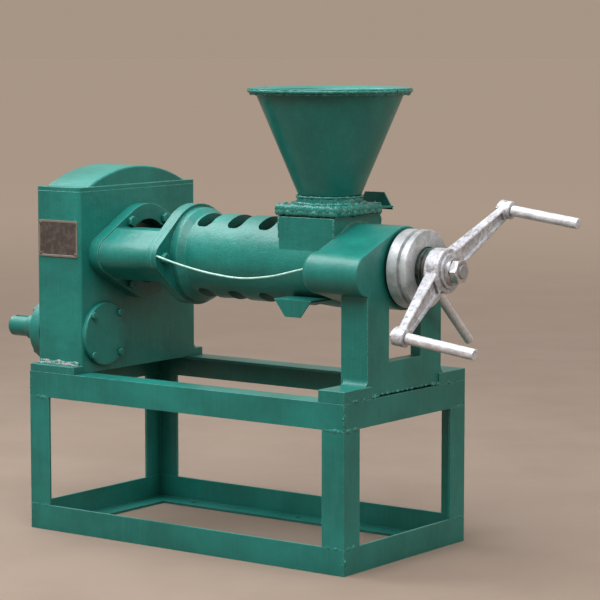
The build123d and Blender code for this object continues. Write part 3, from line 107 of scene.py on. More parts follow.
class Finish:
    """A material, with one method for any node and a few short ones for the usual textures."""

    def __init__(self, name):
        self.material = bpy.data.materials.new(name)
        self.material.use_nodes = True
        self.tree = self.material.node_tree
        self.tree.nodes.clear()
        self.place = self.node("ShaderNodeTexCoord", out="Object")

    def node(self, kind, settings=None, sockets=None, out=0):
        """Adds a node with its settings, then its sockets' values or links, and gives back one output, if
        the node has any."""
        made = self.tree.nodes.new(kind)
        for key, value in (settings or {}).items():
            setattr(made, key, value)
        for key, value in (sockets or {}).items():
            if isinstance(value, Signal):
                self.tree.links.new(value.socket, made.inputs[key])
            else:
                made.inputs[key].default_value = value
        return Signal(self, made.outputs[out]) if made.outputs else None

    def math(self, operation, *values):
        """A Math node, for the operators and for what has no operator, such as MAXIMUM."""
        return self.node("ShaderNodeMath", {"operation": operation}, dict(enumerate(values)))

    def noise(self, scale, detail=2.0, rough=0.5, at=None):
        """Cloudy noise around 0.5, with scale in lumps per metre."""
        return self.node("ShaderNodeTexNoise", {}, {
            "Vector": at or self.place, "Scale": scale, "Detail": detail, "Roughness": rough})

    def ramp(self, value, low, high):
        """0 below low, 1 above high, and a smooth step between them."""
        return self.node("ShaderNodeMapRange", {"interpolation_type": "SMOOTHSTEP"}, {
            "Value": value, "From Min": low, "From Max": high})

    def blend(self, mask, below, above):
        """Colour below where the mask is 0 and colour above where it is 1."""
        return self.node("ShaderNodeMix", {"data_type": "RGBA"},
                         {MIX_SHARE: mask, MIX_BELOW: below, MIX_ABOVE: above}, out=MIX_RESULT)

    def stretched(self, x, y, z):
        """Object coordinates multiplied along each axis."""
        return self.node("ShaderNodeVectorMath", {"operation": "MULTIPLY"}, {0: self.place, 1: (x, y, z)})

    def axes(self, vector):
        """The x, y and z of a vector as three signals."""
        split = self.node("ShaderNodeSeparateXYZ", {}, {0: vector}).socket.node
        return [Signal(self, output) for output in split.outputs]

    def rounded(self, radius):
        """Normals that run smoothly round every edge, as if it had been broken to this radius."""
        return self.node("ShaderNodeBevel", {"samples": 6}, {"Radius": radius})

    def edges(self, rounded, gain):
        """1 on an edge and 0 on a flat: one minus the dot product of the rounded and the true normal."""
        true = self.node("ShaderNodeNewGeometry", out="Normal")
        dot = self.node("ShaderNodeVectorMath", {"operation": "DOT_PRODUCT"}, {0: rounded, 1: true},
                        out="Value")
        return self.node("ShaderNodeMath", {"operation": "MULTIPLY", "use_clamp": True},
                         {0: 1 - dot, 1: gain})

    def hollows(self, reach):
        """1 deep in a corner and 0 in the open, from how much of the near surroundings is hidden."""
        return 1 - self.node("ShaderNodeAmbientOcclusion", {"samples": 6}, {"Distance": reach}, out="AO")

    def specks(self, scale, size, share):
        """Scattered round specks: 1 inside a dot of the given size, and only in a share of the cells. Each
        cell has a random colour, and its red is above 1 - share in just that share of them."""
        cell = self.node("ShaderNodeTexVoronoi", {}, {"Vector": self.place, "Scale": scale}).socket.node
        near = 1 - self.ramp(Signal(self, cell.outputs["Distance"]), size * 0.6, size)
        return near * self.ramp(self.axes(Signal(self, cell.outputs["Color"]))[0], 1 - share, 1.001 - share)

    def bump(self, height, depth, normal):
        """Normals of a surface whose height, from 0 to 1, stands for a depth in metres."""
        return self.node("ShaderNodeBump", {}, {"Distance": depth, "Height": height, "Normal": normal})

    def shade(self, **sockets):
        """The Principled shader with these sockets, as the material's surface; gives back the material."""
        named = {key.replace("_", " "): value for key, value in sockets.items()}
        shader = self.node("ShaderNodeBsdfPrincipled", {}, named)
        self.node("ShaderNodeOutputMaterial", {}, {"Surface": shader})
        return self.material


def tint(red, green, blue):
    """A colour written as 0 to 255 per channel, turned to the linear values that nodes use."""
    share = np.array([red, green, blue]) / 255.0
    linear = np.where(share <= 0.04045, share / 12.92, ((share + 0.055) / 1.055) ** 2.4)
    return (*linear.tolist(), 1.0)


# %% [markdown]
# ## Green enamel
# The castings and the angle iron carry the same brushed enamel, over different ground. Sand castings show
# grains of about three millimetres through the paint, rolled angle is smoother, and welds are lumpy. One
# recipe takes the grain's size and depth. Edges and the tops of the grain are painted pale, partly as paint
# pulled thin and partly as a painted highlight, and corners and sheltered faces are painted dark as shade.
# The Bevel node gives both the soft edge and the mask for it, and Ambient Occlusion finds the corners.

# %% The enamel recipe
DEEP_GREEN, FULL_GREEN, PALE_GREEN = tint(16, 106, 96), tint(26, 126, 115), tint(112, 190, 178)
# The first colour on the next line is painted shade: the dark green laid into corners and sheltered faces.
PAINTED_SHADE_GREEN, CRUMB = tint(8, 34, 29), tint(150, 160, 140)
STROKE_DEPTH, CRUMB_DEPTH, PAINT_IOR = 0.00005, 0.0006, 1.5


def enamel(name, grain_scale, grain_depth, wave_depth, edge_radius, mean_roughness, reach=0.16, crests=0.26):
    """Enamel over ground with grains of a given number per metre and a given depth.

    The colour drifts between two greens, and pale paint shows in brush strokes. Edges are painted pale,
    partly as thin paint and partly as a painted highlight, and the tops of the grain carry a painted
    highlight as strong as crests. Painted shade darkens the corners, and wherever something nearer than
    reach stands over the surface. Slow waves, brush strokes, grain and dried crumbs each add their bump.
    """
    finish = Finish(name)
    soft = finish.rounded(edge_radius)
    drift = finish.ramp(finish.noise(6.0, 4.0, 0.6), 0.34, 0.68)
    grain = finish.noise(grain_scale, 3.0, 0.62)
    fleck = finish.noise(190.0, 3.0, 0.7)
    brush = finish.noise(1.0, 3.0, 0.6, at=finish.stretched(150.0, 150.0, 9.0))
    crumb = finish.specks(16.0, 0.045, 0.035)
    # Painted highlight, partly thin paint: edges turn pale where the rounded normal leaves the true one.
    edge = finish.edges(soft, 9.0) * finish.ramp(fleck, 0.34, 0.56)
    # Painted shade: dark in corners within 3 cm, and wherever anything within reach stands over the surface.
    corner = finish.ramp(finish.hollows(0.03), 0.45, 1.0) * 0.8
    sheltered_shade = finish.ramp(finish.hollows(reach), 0.40, 0.92) * 0.72
    colour = finish.blend(drift, DEEP_GREEN, FULL_GREEN)
    colour = finish.blend(finish.ramp(brush, 0.45, 0.75) * 0.05, colour, PALE_GREEN)
    # Painted highlight on the tops of the grain, as strong as crests; the welds get the most.
    colour = finish.blend(finish.ramp(grain, 0.7 - crests * 0.4, 0.78) * crests, colour, PALE_GREEN)
    colour = finish.blend(edge * 0.7, colour, PALE_GREEN)
    # Painted shade laid on: first the sheltered faces, then the corners.
    colour = finish.blend(sheltered_shade, colour, PAINTED_SHADE_GREEN)
    colour = finish.blend(corner, colour, PAINTED_SHADE_GREEN)
    colour = finish.blend(crumb * 0.8, colour, CRUMB)
    wave = finish.bump(finish.noise(34.0, 2.0), wave_depth, soft)
    stroke = finish.bump(brush, STROKE_DEPTH, wave)
    ground = finish.bump(grain, grain_depth, stroke)
    # Both noises are 0.5 on average, so together they add 0.14, which is taken off again.
    roughness = finish.noise(26.0, 3.0, 0.6) * 0.2 + brush * 0.08 + (mean_roughness - 0.14) + corner * 0.2
    return finish.shade(Base_Color=colour, Roughness=roughness, IOR=PAINT_IOR,
                        Normal=finish.bump(crumb, CRUMB_DEPTH, ground))


cast_enamel = enamel("enamel_on_casting", grain_scale=330.0, grain_depth=0.00055, wave_depth=0.0016,
                     edge_radius=0.0022, mean_roughness=0.34, reach=0.28)
rolled_enamel = enamel("enamel_on_angle", grain_scale=420.0, grain_depth=0.00022, wave_depth=0.0010,
                       edge_radius=0.0012, mean_roughness=0.36)
sheet_enamel = enamel("enamel_on_sheet", grain_scale=260.0, grain_depth=0.00016, wave_depth=0.0012,
                      edge_radius=0.0008, mean_roughness=0.33)
weld_enamel = enamel("enamel_on_weld", grain_scale=240.0, grain_depth=0.00070, wave_depth=0.0020,
                     edge_radius=0.0014, mean_roughness=0.24, reach=0.05, crests=0.62)


# %% Bare weld slag
def slag_finish():
    """Weld that the paint hardly covers: pinkish grey slag in patches over green, with painted shade in its
    hollows.
    """
    finish = Finish("bare_weld_slag")
    soft = finish.rounded(0.0010)
    patch = finish.ramp(finish.noise(120.0, 3.0, 0.6), 0.44, 0.6)
    grain = finish.noise(300.0, 3.0, 0.6)
    colour = finish.blend(patch, FULL_GREEN, tint(142, 134, 131))
    # Painted shade: dark green in the hollows of the slag.
    colour = finish.blend(finish.ramp(finish.hollows(0.008), 0.3, 0.9) * 0.8, colour, PAINTED_SHADE_GREEN)
    return finish.shade(Base_Color=colour, Roughness=grain * 0.3 + 0.25, IOR=PAINT_IOR,
                        Normal=finish.bump(grain, 0.0008, soft))


weld_slag = slag_finish()
print("enamels", [paint.name for paint in (cast_enamel, rolled_enamel, sheet_enamel, weld_enamel, weld_slag)])

# %% [markdown]
# ## Turned steel
# Turned pieces show fine rings from the tool. The rings follow x on a cylinder and the radius on an end
# face, so one noise that reads both is right on either. The lock nut is stained, the crank's nuts are
# brighter, and what lies inside the barrel and the gearbox is oily and darker.

# %% Turned steel, with rings about the press's axis
AXIS_HEIGHT = 0.55
TOOL_MARKS, TOOL_DEPTH = 900.0, 0.00006
PAINTED_SHADE_GREY = tint(52, 50, 44)


def turned(name, colour, stain, stain_share, roughness, metallic=1.0):
    """Turned metal: tool rings over x and radius, cloudy stains, and painted shade in the corners."""
    finish = Finish(name)
    x, y, z = finish.axes(finish.place)
    height = z - AXIS_HEIGHT
    radius = (y * y + height * height) ** 0.5
    tool = finish.node("ShaderNodeCombineXYZ", {}, {0: x * TOOL_MARKS, 1: radius * TOOL_MARKS, 2: y * 6.0})
    rings = finish.noise(1.0, 2.0, 0.6, at=tool)
    soft = finish.rounded(0.0012)
    cloud = finish.ramp(finish.noise(38.0, 5.0, 0.65), 0.62 - stain_share * 0.3, 0.72)
    corner = finish.hollows(0.02)
    shade = finish.blend(cloud * 0.8, colour, stain)
    # Painted shade: dark grey in corners within 2 cm.
    shade = finish.blend(finish.ramp(corner, 0.4, 1.0) * 0.7, shade, PAINTED_SHADE_GREY)
    return finish.shade(Base_Color=shade, Metallic=metallic, Normal=finish.bump(rings, TOOL_DEPTH, soft),
                        Roughness=rings * 0.16 + cloud * 0.2 + roughness)


ring_steel = turned("turned_steel", tint(214, 216, 220), tint(150, 156, 152),
                    stain_share=0.9, roughness=0.26, metallic=0.5)
nut_steel = turned("bright_nut_steel", tint(214, 214, 216), tint(120, 118, 116),
                   stain_share=0.8, roughness=0.18, metallic=0.9)
plain_steel = turned("oiled_steel", tint(150, 147, 142), tint(92, 84, 70), stain_share=0.7, roughness=0.26)
cage_steel = turned("oily_ring_steel", tint(84, 78, 68), tint(40, 34, 26), stain_share=1.0, roughness=0.30)
gear_iron = turned("cut_gear_iron", tint(96, 96, 96), tint(52, 48, 42), stain_share=0.8, roughness=0.32)
print("steels", [metal.name for metal in (ring_steel, nut_steel, plain_steel, cage_steel, gear_iron)])

# %% [markdown]
# ## Aluminium paint
# The crank is a rough casting brushed with aluminium paint, and its grips are smoother bar under the same
# paint. Real flakes lie flat and shine a little, so the finish is only part metallic. Stains and worn edges
# keep it from looking like plain grey plastic.

# %% Aluminium paint on the crank
def silver_paint(name, light, dull, stain_share, cast_depth):
    """Aluminium paint: pale flakes, thin grey wear on edges, cast grain under it and painted shade in
    hollows.
    """
    finish = Finish(name)
    soft = finish.rounded(0.0016)
    grain = finish.noise(330.0, 3.0, 0.65)
    cloud = finish.noise(34.0, 4.0, 0.65)
    stain = finish.ramp(finish.noise(110.0, 5.0, 0.72), 0.47, 0.62)
    worn = finish.edges(soft, 5.0) * finish.ramp(finish.noise(150.0, 3.0, 0.7), 0.48, 0.62)
    corner = finish.hollows(0.03)
    colour = finish.blend(finish.ramp(cloud, 0.36, 0.66), light, dull)
    colour = finish.blend(stain * stain_share, colour, tint(122, 122, 128))
    colour = finish.blend(finish.ramp(grain, 0.54, 0.70) * stain_share, colour, tint(112, 110, 112))
    colour = finish.blend(worn * 0.45, colour, tint(120, 116, 114))
    # Painted shade: dark grey in hollows within 3 cm.
    colour = finish.blend(finish.ramp(corner, 0.28, 0.85) * 0.85, colour, tint(50, 47, 44))
    rough_cast = finish.bump(grain, cast_depth, soft)
    return finish.shade(Base_Color=colour, Metallic=stain * 0.3 + 0.3, Roughness=cloud * 0.2 + 0.24,
                        Normal=finish.bump(finish.noise(75.0, 2.0), 0.0013, rough_cast))


crank_silver = silver_paint("aluminium_paint_on_casting", tint(226, 226, 230), tint(192, 192, 198),
                            stain_share=0.48, cast_depth=0.0009)
grip_silver = silver_paint("aluminium_paint_on_bar", tint(236, 236, 238), tint(214, 214, 218),
                           stain_share=0.22, cast_depth=0.0003)
print("paints", crank_silver.name, grip_silver.name)

# %% [markdown]
# ## Four small finishes
# The screw is oiled and dark, with rust and a mist of green paint, but its stud in the crank's hub is clean.
# The nameplate is blank, and its raised border is only a bump worked out from x and z. The wire has a thin
# pale coat, and the shaft end was painted over with the press and then rubbed bright.

# %% The screw's thread
STUD_START, STUD_FADE = 0.480, 0.002


def screw_finish():
    """Dark oiled thread with rust in patches and a mist of green paint on the crests."""
    finish = Finish("oiled_screw_thread")
    soft = finish.rounded(0.0006)
    rust = finish.ramp(finish.noise(55.0, 5.0, 0.7), 0.46, 0.62)
    mist = finish.ramp(finish.noise(30.0, 3.0, 0.6), 0.44, 0.64)
    colour = finish.blend(mist, tint(62, 70, 68), tint(46, 92, 80))
    colour = finish.blend(rust * 0.5, colour, tint(88, 70, 56))
    # Painted shade: near black in the thread's hollows.
    colour = finish.blend(finish.ramp(finish.hollows(0.006), 0.3, 0.9) * 0.6, colour, tint(30, 30, 26))
    x, _, _ = finish.axes(finish.place)
    stud = finish.ramp(x, STUD_START, STUD_START + STUD_FADE)
    colour = finish.blend(stud * (1 - rust * 0.3), colour, tint(158, 158, 160))
    return finish.shade(Base_Color=colour, Metallic=(1 - mist) * (1 - rust) * 0.8,
                        Roughness=rust * 0.3 + 0.34,
                        Normal=finish.bump(finish.noise(500.0, 3.0, 0.6), 0.0002, soft))


# %% The blank nameplate
BORDER_WIDTH, BORDER_BLUR = 0.0042, 0.0006


def nameplate_finish(middle, half):
    """Bare plate: a bright raised border round a dark brushed field. A place is on the border where its
    distance from the middle, in x or in z, is more than half the plate less the border's width."""
    finish = Finish("blank_nameplate")
    x, _, z = finish.axes(finish.place)
    side_x, side_z = finish.math("ABSOLUTE", x - middle[0]), finish.math("ABSOLUTE", z - middle[1])
    start_x, start_z = half[0] - BORDER_WIDTH, half[1] - BORDER_WIDTH
    border = finish.math("MAXIMUM", finish.ramp(side_x, start_x, start_x + BORDER_BLUR),
                         finish.ramp(side_z, start_z, start_z + BORDER_BLUR))
    brushed = finish.noise(1.0, 3.0, 0.6, at=finish.stretched(40.0, 40.0, 1500.0))
    cloud = finish.noise(90.0, 4.0, 0.6)
    field = finish.blend(finish.ramp(cloud, 0.4, 0.7), tint(78, 70, 66), tint(104, 94, 88))
    colour = finish.blend(border, field, tint(176, 170, 164))
    colour = finish.blend(finish.ramp(cloud, 0.62, 0.75) * 0.4, colour, tint(60, 82, 72))
    return finish.shade(Base_Color=colour, Metallic=border * 0.7 + 0.25, Roughness=brushed * 0.3 + 0.24,
                        Normal=finish.bump(border + brushed * 0.05, 0.0004, finish.rounded(0.0006)))


# %% The wire and the shaft end
def wire_finish():
    """Pale green coating, a little darker in patches along the wire."""
    finish = Finish("pale_wire_coat")
    cloud = finish.noise(60.0, 3.0, 0.6)
    colour = finish.blend(finish.ramp(cloud, 0.4, 0.62), tint(176, 214, 202), tint(150, 194, 178))
    return finish.shade(Base_Color=colour, Roughness=cloud * 0.2 + 0.3, IOR=1.46)


def shaft_finish():
    """Steel shaft end that was painted over with the press and has rubbed bright in patches."""
    finish = Finish("overpainted_shaft")
    soft = finish.rounded(0.0015)
    rubbed = finish.ramp(finish.noise(46.0, 5.0, 0.7), 0.56, 0.66) + finish.edges(soft, 3.0) * 0.6
    bare = finish.math("MINIMUM", rubbed, 1.0)
    colour = finish.blend(finish.noise(12.0), DEEP_GREEN, FULL_GREEN)
    colour = finish.blend(bare * 0.7, colour, tint(128, 124, 116))
    # Painted shade: dark green in hollows within 2 cm.
    colour = finish.blend(finish.ramp(finish.hollows(0.02), 0.4, 1.0) * 0.7, colour, PAINTED_SHADE_GREEN)
    return finish.shade(Base_Color=colour, Metallic=bare * 0.8, Roughness=finish.noise(80.0) * 0.2 + 0.26,
                        Normal=finish.bump(finish.noise(300.0, 3.0), 0.0003, soft))


plate_low, plate_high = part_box("blank_plate")
plate_middle, plate_half = (plate_low + plate_high) / 2, (plate_high - plate_low) / 2
blank_plate = nameplate_finish(plate_middle.xz, plate_half.xz)
screw_thread, wire_coat, overpainted = screw_finish(), wire_finish(), shaft_finish()
print("plate", [round(v, 4) for v in (*plate_low, *plate_high)])

# %% [markdown]
# ## Paint the solids
# Each CAD node keeps its mesh, and only its material slots are filled. The stand is rolled angle, the hopper
# is sheet, and what was cast shares the grainy enamel.

# %% Give every node its finish
NODE_FINISH = {
    "stand": rolled_enamel,
    "hopper": sheet_enamel, "hopper_base": weld_enamel, "hopper_lower_plate": weld_enamel,
    "feed_gate": sheet_enamel, "drain_gate": sheet_enamel,
    "main_bearings": plain_steel, "input_bearings": plain_steel, "input_shaft": overpainted,
    "pinion_key": plain_steel, "main_gear": gear_iron, "pinion": gear_iron,
    "press_rings": cage_steel, "cake_ring": cage_steel, "worm_shaft": plain_steel,
    "thrust_bearing": plain_steel, "adjusting_screw": screw_thread,
    "handle": crank_silver, "grips": grip_silver, "grip_nuts": nut_steel,
    "handle_nut": nut_steel, "handle_washers": nut_steel,
    "lock_nut": ring_steel, "lock_nut_lever": grip_silver,
    "blank_plate": blank_plate, "plate_rivets": plain_steel, "wire": wire_coat,
}
for name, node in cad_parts.items():
    group = "stand" if name.startswith("stand_") else name
    for slot in node.material_slots:
        slot.material = NODE_FINISH.get(group, cast_enamel)
cast_nodes = [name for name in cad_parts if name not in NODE_FINISH and not name.startswith("stand_")]
print("cast and green:", sorted(cast_nodes))

# %% [markdown]
# ## The wire
# A thin wire hangs from the neck's ear to the head's shoulder boss, taut enough to sag only a few
# centimetres. A NURBS curve through a few control points bends like a real wire, with no kinks, and its
# bevel is the skin.

# %% Hang the wire
WIRE_ROUTE = [
    (-0.1103, -0.134, 0.5554), (-0.0770, -0.134, 0.5467), (-0.0274, -0.134, 0.5368),
    (0.0215, -0.134, 0.5290), (0.0939, -0.134, 0.5228), (0.1651, -0.134, 0.5310),
    (0.2118, -0.134, 0.5425), (0.2493, -0.134, 0.5522)]
strand = bpy.data.curves.new("hanging_wire", "CURVE")
strand.dimensions = "3D"
strand.bevel_depth = 0.0021
strand.bevel_resolution = 5
strand.resolution_u = 24
strand.use_fill_caps = True
spline = strand.splines.new("NURBS")
spline.points.add(len(WIRE_ROUTE) - 1)
spline.points.foreach_set("co", np.hstack([WIRE_ROUTE, np.ones((len(WIRE_ROUTE), 1))]).ravel())
spline.order_u = 3
spline.use_endpoint_u = True
wire = bpy.data.objects.new("hanging_wire", strand)
bpy.context.scene.collection.objects.link(wire)
strand.materials.append(wire_coat)
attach(wire, "press_frame")
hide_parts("wire")
print("wire points", len(WIRE_ROUTE), "length", round(spline.calc_length(), 4))

# %% [markdown]
# ## Skins from rings
# Threads, beads and bolts are all rows of points, each row a closed ring. Quads join one ring to the next,
# a fan shuts each end, and the sign of the enclosed volume says whether the faces have to be turned round.

# %% Build a closed skin and put it in the scene
def skin(rings):
    """Points and triangles of a closed shape from an array of rings, rows by columns by 3.

    Quads between neighbouring rings are split in two, a fan of triangles from the middle of the first and
    of the last ring shuts the ends, and all are reversed if the signed volume comes out negative.
    """
    rows, columns = rings.shape[:2]
    index = np.arange(rows * columns).reshape(rows, columns)
    beside = np.roll(index, -1, axis=1)
    corners = [index[:-1], beside[:-1], beside[1:], index[1:]]
    first, last = np.full(columns, rows * columns), np.full(columns, rows * columns + 1)
    triangles = np.concatenate([
        np.stack([corners[0], corners[1], corners[2]], -1).reshape(-1, 3),
        np.stack([corners[0], corners[2], corners[3]], -1).reshape(-1, 3),
        np.stack([first, beside[0], index[0]], -1), np.stack([last, index[-1], beside[-1]], -1)])
    points = np.concatenate([rings.reshape(-1, 3), rings[[0, -1]].mean(axis=1)])
    a, b, c = (points[triangles[:, k]] for k in range(3))
    if np.einsum("ij,ij->i", a, np.cross(b, c)).sum() < 0:
        triangles = triangles[:, ::-1]
    return points, triangles


def add_piece(name, skins, finish, body, sharp=40.0):
    """One object from several skins: their points are stacked, and each skin's triangles are moved up by
    the number of points before it."""
    starts = np.cumsum([0] + [len(points) for points, _ in skins[:-1]])
    points = np.concatenate([points for points, _ in skins])
    triangles = np.concatenate([triangles + start for (_, triangles), start in zip(skins, starts)])
    mesh = bpy.data.meshes.new(name)
    mesh.from_pydata(points.tolist(), [], triangles.tolist())
    mesh.shade_smooth()
    mesh.set_sharp_from_angle(angle=radians(sharp))
    mesh.materials.append(finish)
    piece = bpy.data.objects.new(name, mesh)
    bpy.context.scene.collection.objects.link(piece)
    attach(piece, body)
    print(name, "triangles", len(triangles))
    return piece


# %% [markdown]
# ## The adjusting screw's thread
# The screw carries a coarse trapezoidal thread of 8 mm pitch, right-handed, because turning it clockwise
# pushes it in. In polar form it is a plain turned profile whose radius also drops in a groove, and the
# groove's place is the distance along the screw less the turn, so one array operation cuts all the turns.

# %% A thread's depth, and a profile with enough points
FLANK_SLOPE, FLOOR_SHARE = 3.2, 1.1


def thread_depth(along, turn, start, end, pitch, depth):
    """Groove depth at a point: a trapezoid wave of (along / pitch - turn), faded out at both ends. The wave
    is 0 across the groove's floor and 1 on the crest, with a straight flank between them."""
    phase = (along / pitch - turn / (2 * pi)) % 1.0
    wave = np.clip(FLANK_SLOPE * np.abs(phase - 0.5) * 2 - FLOOR_SHARE, 0.0, 1.0)
    fade = np.clip((along - start) / pitch, 0, 1) * np.clip((end - along) / pitch, 0, 1)
    return depth * (1 - wave) * fade


def sampled(profile, step):
    """A profile of (x, radius) corners with points added so that no stretch is longer than step."""
    pieces = []
    for (x0, r0), (x1, r1) in zip(profile, profile[1:]):
        count = max(1, int(np.ceil(np.hypot(x1 - x0, r1 - r0) / step)))
        share = np.arange(count)[:, None] / count
        pieces.append(np.array([[x0, r0]]) * (1 - share) + np.array([[x1, r1]]) * share)
    return np.concatenate([*pieces, [profile[-1]]])


# %% Turn and thread the screw
# The radii and depths repeat the CAD screw's, because its box can't tell them.
BODY_R, SPIGOT_R, STUD_R, POCKET_R, BORE_R = 0.041, 0.022, 0.0135, 0.0275, 0.016
POCKET_DEPTH, BORE_DEPTH = 0.034, 0.0525
CHAMFER, STUD_CHAMFER, POLE_R, SKIN_STEP, AROUND = 0.0015, 0.0018, 0.0005, 0.0007, 112
BODY_PITCH, BODY_GROOVE = 0.008, 0.0036
STUD_PITCH, STUD_GROOVE = 0.003, 0.0016
RUN_OUT, ON_SURFACE = 0.001, 0.0001
screw_low, screw_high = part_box("adjusting_screw")
screw_end, stud_tip = screw_low[0], screw_high[0]
hub_back, hub_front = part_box("handle")[0][0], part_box("handle_washers")[0][0]
bore_floor, pocket_floor, spigot_end = screw_end + BORE_DEPTH, screw_end + POCKET_DEPTH, hub_front - RUN_OUT
outline = [(bore_floor, POLE_R), (bore_floor, BORE_R), (pocket_floor, BORE_R), (pocket_floor, POCKET_R),
           (screw_end, POCKET_R), (screw_end, BODY_R - CHAMFER), (screw_end + CHAMFER, BODY_R),
           (hub_back, BODY_R), (hub_back, SPIGOT_R), (spigot_end, SPIGOT_R), (spigot_end, STUD_R),
           (stud_tip - CHAMFER, STUD_R), (stud_tip, STUD_R - STUD_CHAMFER), (stud_tip, POLE_R)]
along, reach = sampled(outline, SKIN_STEP).T
turn = np.arange(AROUND) * 2 * pi / AROUND
ALONG, TURN = np.meshgrid(along, turn, indexing="ij")
REACH = np.repeat(reach[:, None], len(turn), axis=1)
on_body = (REACH > BODY_R - ON_SURFACE) & (ALONG < hub_back - 2 * ON_SURFACE)
REACH = REACH - on_body * thread_depth(ALONG, TURN, screw_end + 2 * RUN_OUT, hub_back - RUN_OUT / 2,
                                       BODY_PITCH, BODY_GROOVE)
on_stud = (np.abs(REACH - STUD_R) < ON_SURFACE) & (ALONG > hub_front)
REACH = REACH - on_stud * thread_depth(ALONG, TURN, hub_front + RUN_OUT, stud_tip - RUN_OUT,
                                       STUD_PITCH, STUD_GROOVE)
rings = np.stack([ALONG, REACH * np.cos(TURN), REACH * np.sin(TURN) + AXIS_HEIGHT], -1)
threaded_screw = add_piece("threaded_screw", [skin(rings)], screw_thread, "crank", sharp=50.0)
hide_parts("adjusting_screw")

# %% [markdown]
# ## Bolts
# A real hex head has its corners turned off by a cone and often a washer face under it. In polar form the
# head's radius is that of a hexagon, never more than the cone allows at that height, so every bolt on the
# press is the same function with other numbers.

# %% Chamfered hex heads on round shanks
WASHER_FACE = 0.0006
SMALL_BOLT = {"flats": 0.013, "head": 0.0053, "shank_r": 0.004, "shank": 0.016}
NECK_BOLT = {"flats": 0.019, "head": 0.0075, "shank_r": 0.006, "shank": 0.032}
EAR_BOLT = {"flats": 0.019, "head": 0.010, "shank_r": 0.006, "shank": 0.038}
BOLT_AROUND = 48


def frame_across(aim):
    """An aim made one long, and two unit vectors square to it and to each other."""
    aim = np.asarray(aim, float) / np.linalg.norm(aim)
    side = np.cross(aim, (0.0, 0.0, 1.0) if abs(aim[2]) < 0.9 else (1.0, 0.0, 0.0))
    side = side / np.linalg.norm(side)
    return aim, side, np.cross(side, aim)


def hex_bolt(seat, aim, flats, head, shank_r, shank):
    """A bolt on its seat: a round shank behind it, a washer face, and a hexagon cut by a cone. The
    hexagon's radius is half the flats over the cosine of the angle from the nearest flat, and the profile,
    rows of a height and the most radius allowed there, lowers it near the top and under it."""
    aim, side, up = frame_across(aim)
    turn = np.arange(BOLT_AROUND) * 2 * pi / BOLT_AROUND
    hexagon = flats / 2 / np.cos((turn + pi / 6) % (pi / 3) - pi / 6)
    washer_r = 0.48 * flats
    heights, limits = np.array([
        (-shank, shank_r * 0.6), (-shank, shank_r), (0.0, shank_r), (0.0, washer_r),
        (WASHER_FACE, washer_r), (WASHER_FACE, flats), (0.6 * head, flats),
        (0.86 * head, 0.545 * flats), (head, 0.475 * flats), (head, 0.2 * flats)]).T
    radius = np.minimum(hexagon, limits[:, None])
    spread = radius[..., None] * (np.cos(turn)[:, None] * side + np.sin(turn)[:, None] * up)
    return skin(np.asarray(seat) + heights[:, None, None] * aim + spread)


def on_circle(x, y, z, radius, count, start):
    """Places evenly spread on a circle that is square to X."""
    angle = radians(start) + np.arange(count) * 2 * pi / count
    return np.stack([np.full(count, x), y + radius * np.cos(angle), z + radius * np.sin(angle)], -1)


def bolt_set(node, seats, aim, bolt):
    """All the bolts of one CAD node, as one piece that stands for it."""
    skins = [hex_bolt(seat, aim, **bolt) for seat in seats]
    piece = add_piece(f"{node}_dressed", skins, cast_enamel, "press_frame", sharp=25.0)
    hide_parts(node)


# %% Put the bolts on their seats
COVER_CIRCLE, CAP_CIRCLE = 0.056, 0.064
NECK_BOLT_Y, NECK_BOLT_Z, EAR_BOLT_Y = 0.052, 0.062, 0.113
cover_low, cover_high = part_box("pinion_cover")
shaft_y, shaft_z = (cover_low[1] + cover_high[1]) / 2, (cover_low[2] + cover_high[2]) / 2
carrier_seat, rear_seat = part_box("input_carrier")[0][0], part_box("rear_cap")[0][0]
bolt_set("pinion_cover_bolts", on_circle(cover_high[0], shaft_y, shaft_z, COVER_CIRCLE, 4, 45),
         (1, 0, 0), SMALL_BOLT)
bolt_set("carrier_bolts", on_circle(carrier_seat, shaft_y, shaft_z, COVER_CIRCLE, 4, 45),
         (-1, 0, 0), SMALL_BOLT)
bolt_set("rear_cap_bolts", on_circle(rear_seat, 0.0, AXIS_HEIGHT, CAP_CIRCLE, 6, 30),
         (-1, 0, 0), SMALL_BOLT)
neck_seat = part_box("neck_bolts")[1][0] - NECK_BOLT["head"]
ear_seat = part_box("ear_bolts")[1][0] - EAR_BOLT["head"]
bolt_set("neck_bolts", [(neck_seat, side * NECK_BOLT_Y, AXIS_HEIGHT + level * NECK_BOLT_Z)
                        for side in (-1, 1) for level in (-1, 1)], (1, 0, 0), NECK_BOLT)
bolt_set("ear_bolts", [(ear_seat, side * EAR_BOLT_Y, AXIS_HEIGHT) for side in (-1, 1)],
         (1, 0, 0), EAR_BOLT)

# %% [markdown]
# ## Weld beads
# The stand and the hopper are welded by hand, so each joint carries a lumpy bead that narrows at both ends.
# A bead is a tube along its joint. Its radius swings with the ripples of the weld and with a few slower
# waves of chosen size, and it lies partly sunk in the steel, so only a rough pad shows. Each bead has its own
# seed, so one of them can change without moving the lumps of the rest.

# %% Lay a bead along a path
RIPPLE_PITCH, BEAD_STEP, BEAD_SIDES = 0.0032, 0.002, 10
WAVE_SHARE, RIPPLE_SHARE, LUMP_SHARE = 0.13, 0.10, 0.10
THINNEST, THICKEST = 0.25, 2.0


